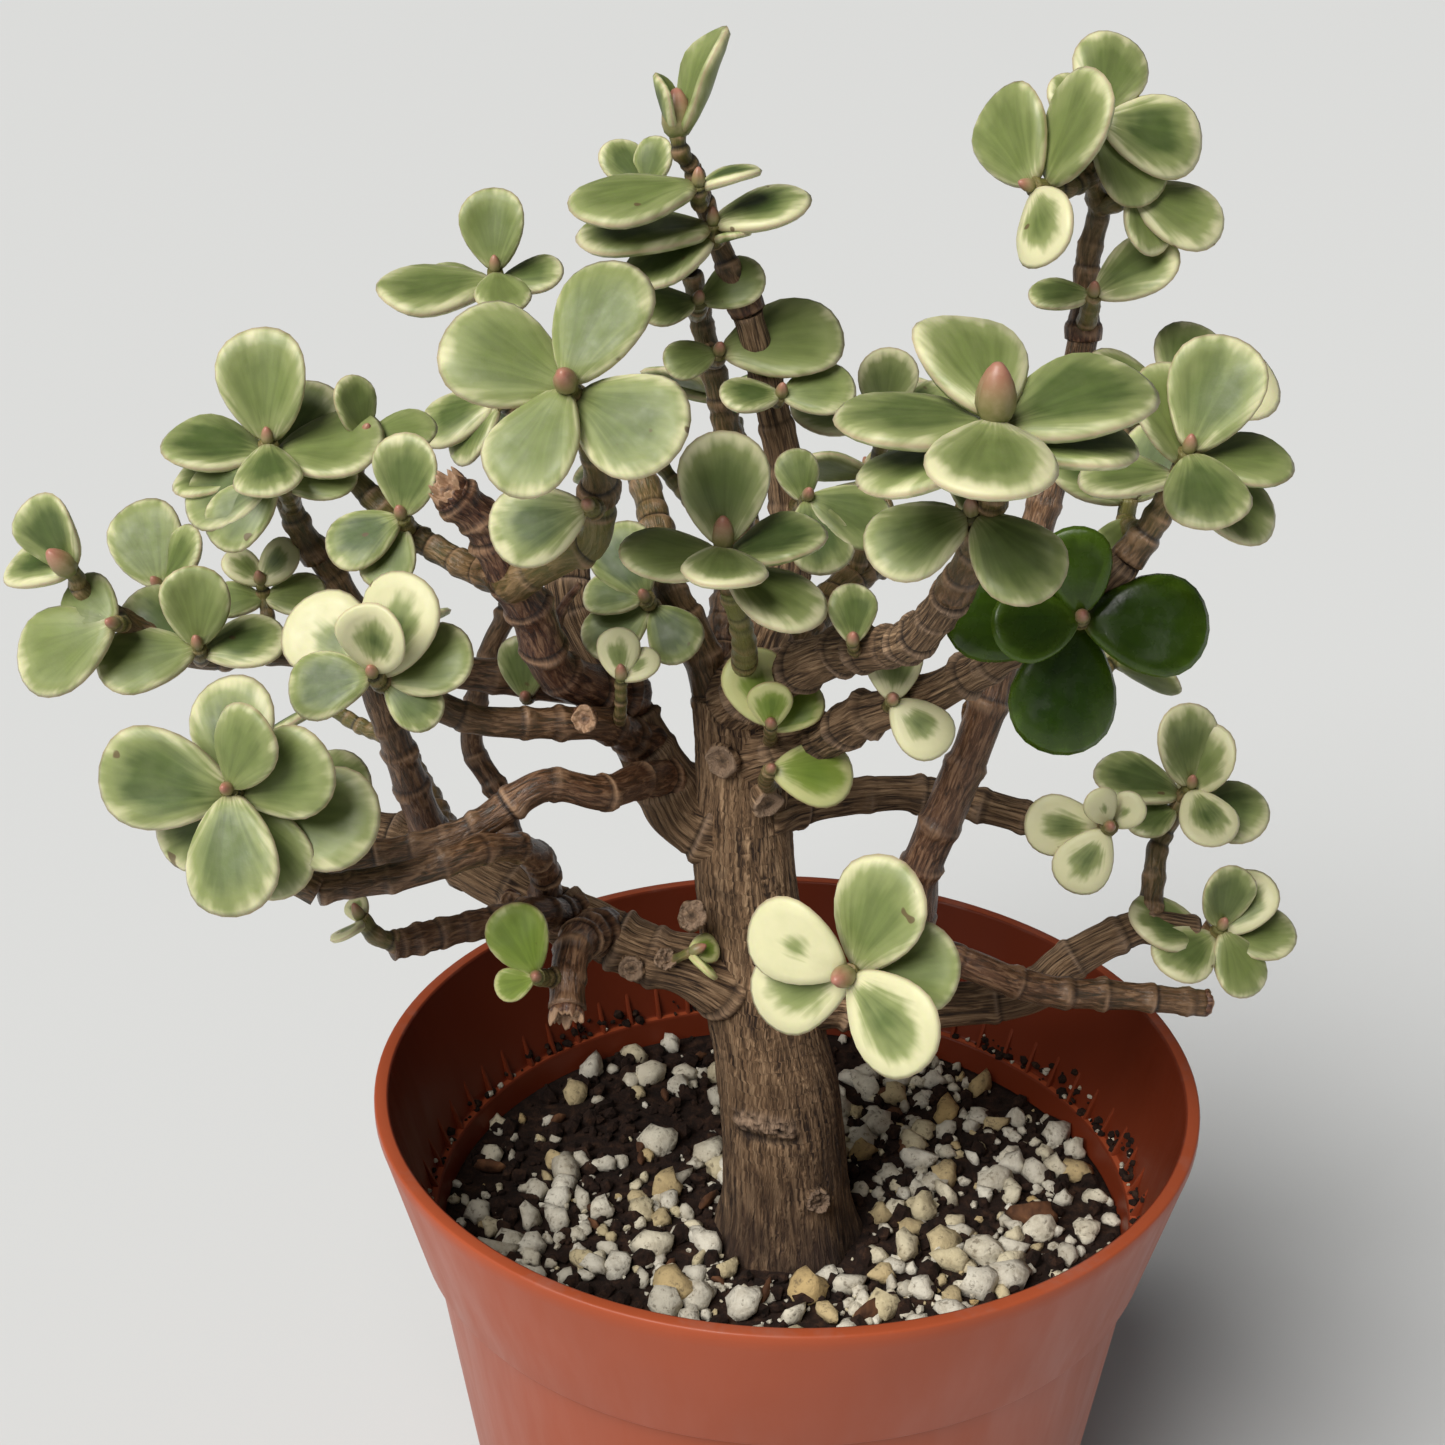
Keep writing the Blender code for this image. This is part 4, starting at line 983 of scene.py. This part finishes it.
# ---------------------------------------------------------------------------------------------
# The sprigs on the left. Young stems with opposite pairs of leaves, which turn their faces to
# the light at the front.
# ---------------------------------------------------------------------------------------------
left_sprigs = (
    ("sprig_left_front", 1.8, 1.5, ((-65, -40, 81), (-70, -40, 84), (-73, -42, 93)),
     ((1, (-74, -48, 100), (-100, 30),
       ((62, 42, 13), (-82, 12, 16, 0.05), (168, 8, 18), (14, 14, 15), (100, 4, 16), (-62, -4, 14),
        (-5, 2, 18), (206, -6, 13))),)),
    ("sprig_left_behind", 1.8, 1.3, ((-65, -30, 79), (-69, -28, 81)),
     ((1, (-71, -26, 87), (-60, 60), ((35, 20, 12), (150, 10, 13))),)),
    ("sprig_left_crown", 1.9, 1.5,
     ((-69, -1, 114), (-71, -2, 118), (-73, -4, 125), (-74, -5, 129)),
     ((1, (-74, -7, 133), (-90, 72),
       ((92, 62, 16), (-85, 0, 12), (172, 10, 15), (4, 12, 16), (188, -2, 14), (58, 34, 14))),
      (0.55, (-72, -12, 129), (-110, 40), ((188, 0, 14), (215, 0, 12), (20, -14, 10))))),
    ("sprig_left_mid", 1.7, 1.4, ((-56, -22, 103),),
     ((0, (-58, -27, 107), (-100, 48),
       ((68, 62, 12, 0.45), (190, -2, 12), (140, 10, 15.5, 0.5), (62, 28, 15, 0.4), (22, 8, 13),
        (-30, -10, 9))),)),
    ("sprig_left_end", 1.8, 1.2, ((-90, -12, 105), (-96, -14, 110), (-100, -16, 115)),
     ((1, (-100, -18, 118), (-140, 50), ((84, 52, 11.5), (150, 10, 13))),
      (0.5, (-94, -20, 111), (-110, 30), ((200, 0, 16.5), (150, 0, 10))))),
    ("sprig_left_outer", 1.5, 1.2, ((-85, -10, 102),),
     ((0, (-84, -16, 106), (-90, 60), ((92, 56, 12), (196, 0, 14), (145, 20, 13), (15, 10, 12))),)),
    ("sprig_left_back", 1.4, 1.2, ((-80, -9, 102), (-88, 4, 102)),
     ((1, (-94, 6, 106), (-130, 55), ((100, 40, 14), (30, 30, 11))),)),
    ("sprig_left_bud", 1.2, 1.0, ((-74, -8, 102), (-76, -6, 106)),
     ((1, (-77, -4, 111), (-95, 60),
       ((140, 30, 7, 0.4), (45, 30, 8, 0.4), (185, 10, 8), (0, 10, 9))),)),
    ("branch_bend_left", 2.1, 1.5,
     ((-41, -20, 119), (-45, -16, 118), (-50, -12, 119), (-55, -9, 121), (-60, -7, 125),
      (-63, -6, 128)),
     ((1, (-61, -4, 133), (-60, 60), ((10, 20, 10), (130, 50, 9))),
      (0.62, (-55, -14, 125), (-100, 50), ((65, 50, 12), (205, 0, 11), (250, 0, 10))))),
)
for row in left_sprigs:
    grow_sprig(*row)

# ---------------------------------------------------------------------------------------------
# The sprigs at the front and in the middle: the large rosette at the upper left, the one over
# the trunk, the one that hangs low in front of it, and small shoots straight from old wood.
# ---------------------------------------------------------------------------------------------
middle_sprigs = (
    ("sprig_high_left", 2.0, 1.7,
     ((-27, -31, 134), (-27, -33, 138), (-28, -36, 144), (-29, -39, 149)),
     ((1, (-30, -44, 153), (-98, 38),
       ((70, 12, 16.5), (247, 6, 15, 0.02), (150, 12, 17), (-33, 12, 16.5))),
      (0, (-28, -37, 135), (-100, 35), ((198, 0, 13),)))),
    ("sprig_centre", 2.2, 1.3, ((-8, -2, 94), (-8, -24, 111), (-10, -32, 122)),
     ((1, (-11, -34, 129), (-95, 78),
       ((90, 66, 15, 0.12), (-85, 14, 13), (176, 8, 13.5), (8, 18, 13.5), (-30, -4, 14),
        (150, 0, 12))),)),
    ("sprig_low_front", 1.9, 1.4, ((13, -2, 41), (13, -20, 55), (10, -38, 68)),
     ((1, (6, -52, 76), (-118, 15),
       ((152, 15, 14.5, 0.75), (-34, 14, 16, 0.3), (66, 12, 17, 0.1), (206, 12, 15, 0.35),
        (12, 0, 14, 0.0))),)),
    ("sprig_trunk_front", 1.3, 1.0, ((-4, -2, 86),),
     ((0, (-4, -18, 96), (-92, 42), ((108, 28, 11.5, 0.55), (94, 60, 8, 0.3), (40, 12, 9, 0.15))),)),
    ("sprig_trunk_side", 1.4, 1.2, ((-3, -2, 78),),
     ((0, (-4, -16, 88), (-80, 40), ((2, 4, 12, 0.25),)),)),
    ("sprig_mid_right", 1.1, 1.0, ((12, -22, 101),),
     ((0, (12, -29, 105), (-90, 40), ((86, 20, 9.5, 0.35), (-42, 0, 10, 0.5))),)),
    ("sprig_mid_small", 1.1, 0.9, ((9, -28, 112),),
     ((0, (6, -35, 116), (-90, 50), ((95, 30, 8),)),)),
    ("sprig_tiny_pair", 1.0, 0.9, ((-26, -8, 91),),
     ((0, (-25, -18, 103), (-90, 70), ((95, 50, 7.5, 0.5), (30, 30, 6.5, 0.6))),)),
    ("sprig_single_leaf", 1.0, 0.9, ((-39, -2, 95),),
     ((0, (-39, -10, 96), (-95, 40), ((92, 30, 9.5, 0.05),)),)),
    ("sprig_knot", 0.9, 0.8, ((-19, -4, 50),),
     ((0, (-15, -11, 55), (0, 30), ((50, 40, 6, 0.4), (-20, 20, 6, 0.45))),)),
    ("stub_front", 3.0, 2.5, ((-29, -3, 54), (-32, -14, 58), (-33, -20, 56), (-33, -24, 53)),
     ((0.8, (-37, -27, 60), (-90, 35), ((115, 15, 11), (200, 0, 6))),)),
    ("branch_low_front", 2.6, 2.0,
     ((-33, -1, 55), (-38, -12, 62), (-43, -16, 63), (-51, -20, 63), (-58, -24, 63)),
     ((0.95, (-62, -25, 68), (150, 60), ((100, 40, 5, 0.5), (240, 0, 6, 0.5))),)),
)
stem_ages = {"stub_front": (0.0, 0.05), "branch_low_front": (0.0, 0.05), "sprig_centre": (0.35, 0.95)}
with_young_leaves = ("sprig_trunk_front", "sprig_trunk_side", "sprig_knot", "stub_front")
for row in middle_sprigs:
    grow_sprig(*row, skin=lime if row[0] in with_young_leaves else variegated,
               youth=stem_ages.get(row[0], (0.15, 0.65)))

# ---------------------------------------------------------------------------------------------
# The sprigs on the right, with one that has gone back to the plain dark green of the wild kind
# and holds its leaves like a cross.
# ---------------------------------------------------------------------------------------------
right_sprigs = (
    ("sprig_low_right", 1.8, 1.4, ((64, 4, 51), (66, 3, 50)),
     ((1, (67, 2, 53), (-70, 62),
       ((100, 62, 11), (-60, -20, 11), (42, 42, 12, 0.35), (215, 0, 12), (8, 12, 13), (176, 10, 14))),)),
    ("sprig_right", 1.8, 1.4, ((56, 4, 52), (57, 8, 58), (58, 11, 63), (61, 12, 70)),
     ((1, (62, 11, 73), (-85, 65),
       ((112, 58, 14), (-75, 0, 11, 0.35), (48, 58, 13, 0.3), (165, 10, 14), (-6, 6, 14),
        (215, 10, 9))),)),
    ("sprig_right_small", 2.0, 1.4, ((41, 2, 70), (47, 0, 71)),
     ((1, (47, -5, 74), (-90, 30),
       ((112, 35, 6.5, 0.8), (240, -5, 11, 0.45), (40, 30, 7, 0.8), (176, 0, 12, 0.5))),)),
    ("sprig_front_right", 2.0, 1.5,
     ((17, -54, 131), (19, -64, 143), (19, -72, 152), (19, -74, 157)),
     ((1, (18, -76, 160), (-95, 80),
       ((100, 18, 17, 0.1), (-95, 0, 17), (172, 6, 17.5), (22, 16, 18), (195, -6, 16), (4, -4, 15))),
      (0.45, (17, -68, 146), (-110, 60), ((200, 0, 12.5), (-50, -10, 13), (80, 20, 11))))),
    ("sprig_far_right", 1.8, 1.4, ((40, -40, 130), (43, -40, 135), (46, -40, 142)),
     ((1, (46, -42, 145), (-90, 72),
       ((60, 52, 15), (-80, -2, 13), (122, 50, 13), (4, 10, 13), (-28, -14, 13), (176, 0, 12))),
      (0.3, (42, -26, 133), (-80, 60), ((150, 20, 13), (60, 30, 12), (250, 10, 8))))),
    ("sprig_right_upper", 1.6, 1.3, ((38, 8, 131), (46, 8, 131)),
     ((1, (52, 4, 139), (-60, 60), ((70, 25, 12), (14, 18, 16, 0.8), (165, 10, 12))),)),
)
for row in right_sprigs:
    grow_sprig(*row)
grow_sprig("sprig_green", 1.5, 1.3, ((34, -38, 122),),
           ((0, (34, -45, 124), (-95, 35),
             ((95, 26, 11.5, 0.3), (196, 22, 12, 0.2), (-4, 5, 16, 0.0), (172, 0, 17, 0.0),
              (257, -12, 17.5, 0.0))),), slot="green_leaf_skin", skin=plain_green)

# ---------------------------------------------------------------------------------------------
# The crown. The top shoots of the two leaders, the tallest parts of the plant.
# ---------------------------------------------------------------------------------------------
crown_sprigs = (
    ("sprig_right_crown", 2.0, 1.4,
     ((40, 11, 144), (40, 12, 155), (41, 12, 162), (39, 8, 168)),
     ((1, (30, 0, 168), (-150, 20), ((108, 8, 15.5), (-70, 6, 13, 0.35), (40, 12, 17))),
      (1, (39, 6, 176), (-80, 35), ((75, 5, 13), (-10, 0, 15), (-40, 0, 12), (130, 10, 9))),
      (0.05, (40, 5, 152), (-90, 60), ((178, 5, 8.5, 0.0), (22, 34, 13))),
      (0.75, (44, 6, 166), (-70, 40), ((-15, 5, 14), (-60, 0, 9))))),
    ("sprig_top", 2.0, 1.2, ((-8, 12, 147), (-13, 12, 159), (-16, 10, 168)),
     ((1, (-18, 8, 173), (100, 82), ((188, 74, 9), (10, 66, 16))),
      (0.8, (-15, 3, 167), (-90, 84), ((196, -4, 18), (20, 14, 9))),
      (0.5, (-13, 6, 161), (-90, 84), ((188, -2, 19), (12, 22, 14), (214, -10, 14), (-40, 20, 6))))),
    ("sprig_top_left", 3.0, 1.5,
     ((-10, 4, 89), (-11, 14, 95), (-9, 22, 105), (-9, 24, 116), (-11, 22, 128), (-14, 20, 141),
      (-16, 18, 151)),
     ((1, (-23, 18, 163), (-100, 65), ((130, 35, 9), (60, 45, 8), (190, 10, 10))),
      (0.93, (-15, 10, 149), (-80, 50), ((200, 20, 10), (20, 24, 10))),
      (0.83, (-12, 12, 141), (-80, 50), ((8, 10, 18), (200, 10, 8))))),
    ("sprig_centre_back", 1.3, 1.1, ((-1, 13, 118),),
     ((0, (1, 4, 122), (-80, 50), ((-20, 0, 13), (-70, 0, 12), (110, 30, 8))),)),
    ("sprig_leader", 1.2, 1.0, ((-5, 14, 135),),
     ((0, (-3, 8, 136), (-80, 60), ((12, 14, 11), (192, 10, 9))),)),
)
for row in crown_sprigs:
    grow_sprig(*row, youth=(0.0, 0.4))

# ---------------------------------------------------------------------------------------------
# The back. Longer branches that fill the far side, as leafy as the front.
# ---------------------------------------------------------------------------------------------
rosette = ((20, 20, 14), (200, 20, 14), (110, 10, 15), (-70, 10, 13))
back_branches = (
    ("branch_back_left", 3.0, 1.5,
     ((-11, 3, 88), (-15, 4, 100), (-19, 6, 107), (-21, 14, 113), (-24, 24, 119), (-30, 34, 124),
      (-40, 40, 131), (-45, 38, 141)),
     ((1, (-46, 34, 147), (-92, 74),
       ((92, 60, 12.5), (-80, 0, 11), (188, 0, 18), (4, 12, 10), (170, 10, 12))),
      (0.78, (-45, 22, 130), (-140, 40), ((180, 10, 14), (215, 0, 11), (120, 30, 10))),
      (0.2, (-22, -6, 110), (-110, 50), ((112, 24, 12), (170, 10, 9), (215, 0, 11), (-60, -5, 10))),
      (0.8, (-39, 62, 115), (110, 60), rosette))),
    ("branch_back_right", 3.2, 1.8,
     ((-6, 5, 87), (1, 20, 93), (7, 30, 97), (14, 38, 99), (22, 44, 99), (28, 50, 102),
      (32, 54, 109)),
     ((1, (28, 60, 118), (80, 70), ((20, 20, 15), (200, 20, 15), (110, 10, 15), (-70, 10, 14))),
      (0.5, (13, 24, 128), (-90, 60), ((178, 8, 14), (85, 60, 11), (20, 20, 12))),
      (0.75, (14, 72, 103), (120, 50), rosette))),
    ("branch_back_mid", 3.2, 1.8,
     ((-8, 6, 83), (-8, 30, 87), (-7, 50, 95), (-8, 62, 104), (-10, 68, 113)),
     ((1, (-12, 74, 117), (90, 75), rosette),
      (0.7, (-24, 72, 106), (150, 50), ((100, 20, 13), (190, 20, 14), (280, 10, 12))))),
    ("branch_low_back", 2.6, 1.6,
     ((-50, 6, 59), (-59, 30, 59), (-68, 50, 64), (-72, 60, 71)),
     ((1, (-72, 64, 75), (90, 70), rosette),
      (0.7, (-80, 52, 67), (180, 40), ((100, 20, 13), (200, 20, 14))))),
    ("branch_right_back", 2.4, 1.6,
     ((27, -5, 92), (33, 18, 86), (40, 40, 83), (45, 56, 83)),
     ((1, (47, 64, 84), (80, 70), rosette),
      (0.6, (55, 46, 79), (30, 40), ((80, 20, 13), (-20, 20, 12))))),
)
for row in back_branches:
    grow_sprig(*row)

dressed(joined("buds", all_buds), bud_skin, "leaf_skin")
bpy.data.objects.remove(leaf_model)

# ---------------------------------------------------------------------------------------------
# The old wounds. Where a limb was cut or broke off, a lumpy collar of bark has closed round a heart
# of dead wood. Some of the ends are clean and some are ragged, and one dry twig is left.
# ---------------------------------------------------------------------------------------------


def old_wound(name, place, facing, radius, length, ragged):
    """A stump on the wood: its end is inset twice for the collar and the heart, then roughened."""
    bpy.ops.object.select_all(action="DESELECT")
    bpy.ops.mesh.primitive_cylinder_add(vertices=18, radius=radius * MM, depth=length * MM)
    stump = bpy.context.object
    stump.name = name
    for part in (stump.data.vertices, stump.data.edges, stump.data.polygons):
        for item in part:
            item.select = False
    for face in stump.data.polygons:
        face.select = face.normal.z > 0.9
    bpy.ops.object.mode_set(mode="EDIT")
    bpy.ops.mesh.select_mode(type="FACE")
    bpy.ops.mesh.inset(thickness=0.28 * radius * MM, depth=0.04 * radius * MM)
    bpy.ops.mesh.inset(thickness=0.16 * radius * MM, depth=-0.30 * radius * MM)
    bpy.ops.mesh.inset(thickness=0.25 * radius * MM, depth=0.05 * radius * MM)
    bpy.ops.object.mode_set(mode="OBJECT")
    rounded = stump.modifiers.new("Rounded", "SUBSURF")
    rounded.levels = 2
    rounded.render_levels = 2
    apply_all(stump)
    turn = Vector(facing).to_track_quat("Z", "Y").to_matrix().to_4x4()
    stand = Matrix.Translation(on_plant(place)) @ turn
    marks = []
    runs = []
    for vert in stump.data.vertices:
        x, y, z = vert.co / (radius * MM)
        reach = math.hypot(x, y)
        heart = 1.0 if z > 0 and reach < 0.45 else 0.0
        collar = 1.0 if z > 0 and 0.45 <= reach < 0.92 else 0.0
        top = max(0.0, min(1.0, (vert.co.z - 0.1 * length * MM) / (0.4 * length * MM)))
        rough = noise.noise(Vector((x * 1.7, y * 1.7, z * 1.7 + radius * 9)))
        splinter = noise.noise(Vector((x * 3.5, y * 3.5, radius * 5)))
        vert.co.x *= 1 + 0.22 * rough
        vert.co.y *= 1 + 0.22 * rough
        vert.co.z += (0.12 * rough + ragged * splinter * top) * radius * MM
        marks.append((0.8 * heart * max(0.0, 1 - 3 * reach), 0.45 * heart + 0.9 * collar, 0.0))
        runs.append((x * radius * MM, y * radius * MM, z * radius * MM))
    mark_bark(stump, marks, runs)
    stump.data.transform(stand)
    return stump


trunk_wounds = (
    ("cut_scar", (-10.5, -4.4, 84), (-0.45, -0.85, 0.05), 2.7, 2.6, 0.1),
    ("cut_stub", (-4.6, -5.6, 78.5), (0.35, -0.9, -0.2), 2.5, 4.5, 0.1),
    ("sunk_knot", (-24, -9, 51), (-0.2, -0.9, 0.2), 2.2, 2.0, 0.2),
    ("scaly_stub", (-19, -9.5, 53), (0.1, -0.9, 0.4), 1.8, 2.4, 0.5),
    ("corky_lump", (-15, -9, 60), (-0.1, -0.8, 0.6), 2.4, 2.6, 0.5),
    ("foot_knot", (5, -13.5, 12), (0.3, -0.9, 0.2), 2.2, 2.2, 0.4),
)
stem_wounds = (
    ("broken_stub", (-33, -24.3, 52.7), (0, -0.8, -0.6), 2.6, 2.2, 0.9),
    ("broken_limb", (-47, -24, 132), (-0.6, -0.3, 0.75), 2.8, 2.4, 0.9),
    ("clean_end", (62, -14, 49), (1, 0, -0.1), 2.1, 1.8, 0.1),
    ("pale_knot", (-42, -10, 63), (0, -0.9, 0.3), 1.7, 1.6, 0.2),
    ("dark_knot", (-30, -18.5, 97), (-0.2, -0.9, 0.2), 2.0, 2.2, 0.3),
)
dressed(joined("trunk_wounds", [old_wound(*wound) for wound in trunk_wounds]), old_bark, "old_bark")
dressed(joined("stem_wounds", [old_wound(*wound) for wound in stem_wounds]), young_bark, "young_bark")
twig_route = [on_plant(point) for point in ((-35, -11, 107), (-33, -10, 111), (-31, -11, 114))]
dry_twig = grow_stem("dry_twig", twig_route, 0.9 * MM, 0.45 * MM, (2.5 * MM, 2 * MM), (0, 0), collar=0.3,
                     sides=10)
dressed(dry_twig, young_bark, "young_bark")

# ---------------------------------------------------------------------------------------------
# The stage: a plain pale floor, the soft light of a wide window at the front left, and a dim room.
# ---------------------------------------------------------------------------------------------
bpy.ops.object.select_all(action="DESELECT")
bpy.ops.mesh.primitive_plane_add(size=40, location=(0, 0, 0))
floor = bpy.context.object
floor.name = "floor"
floor_paint = finish("floor_paint", 0.9, 0.2)
floor_paint.node_tree.nodes["Principled BSDF"].inputs["Base Color"].default_value = (0.63, 0.64, 0.64, 1)
floor.data.materials.append(floor_paint)

world = bpy.data.worlds.new("soft_room")
bpy.context.scene.world = world
world.use_nodes = True
world.node_tree.nodes["Background"].inputs["Color"].default_value = (0.95, 0.97, 1.0, 1)
world.node_tree.nodes["Background"].inputs["Strength"].default_value = 0.10

window = bpy.data.lights.new("window", "SUN")
window.energy = 4.5
window.angle = math.radians(42)
window.color = (1.0, 0.985, 0.96)
window_lamp = bpy.data.objects.new("window", window)
window_from = Vector((-0.64, -0.77, 1.10))
window_lamp.rotation_euler = window_from.to_track_quat("Z", "Y").to_euler()
bpy.context.scene.collection.objects.link(window_lamp)

view = bpy.data.cameras.new("view")
view.lens = 60
view.sensor_width = 36
camera = bpy.data.objects.new("view", view)
camera.matrix_world = (Matrix.Translation((-10.8 * MM, -324.3 * MM, 326.7 * MM))
                       @ Matrix.Rotation(math.radians(90 - 24.93), 4, "X")
                       @ Matrix.Rotation(math.radians(0.72), 4, "Z"))
bpy.context.scene.collection.objects.link(camera)
bpy.context.scene.camera = camera
bpy.context.scene.view_settings.view_transform = "Standard"
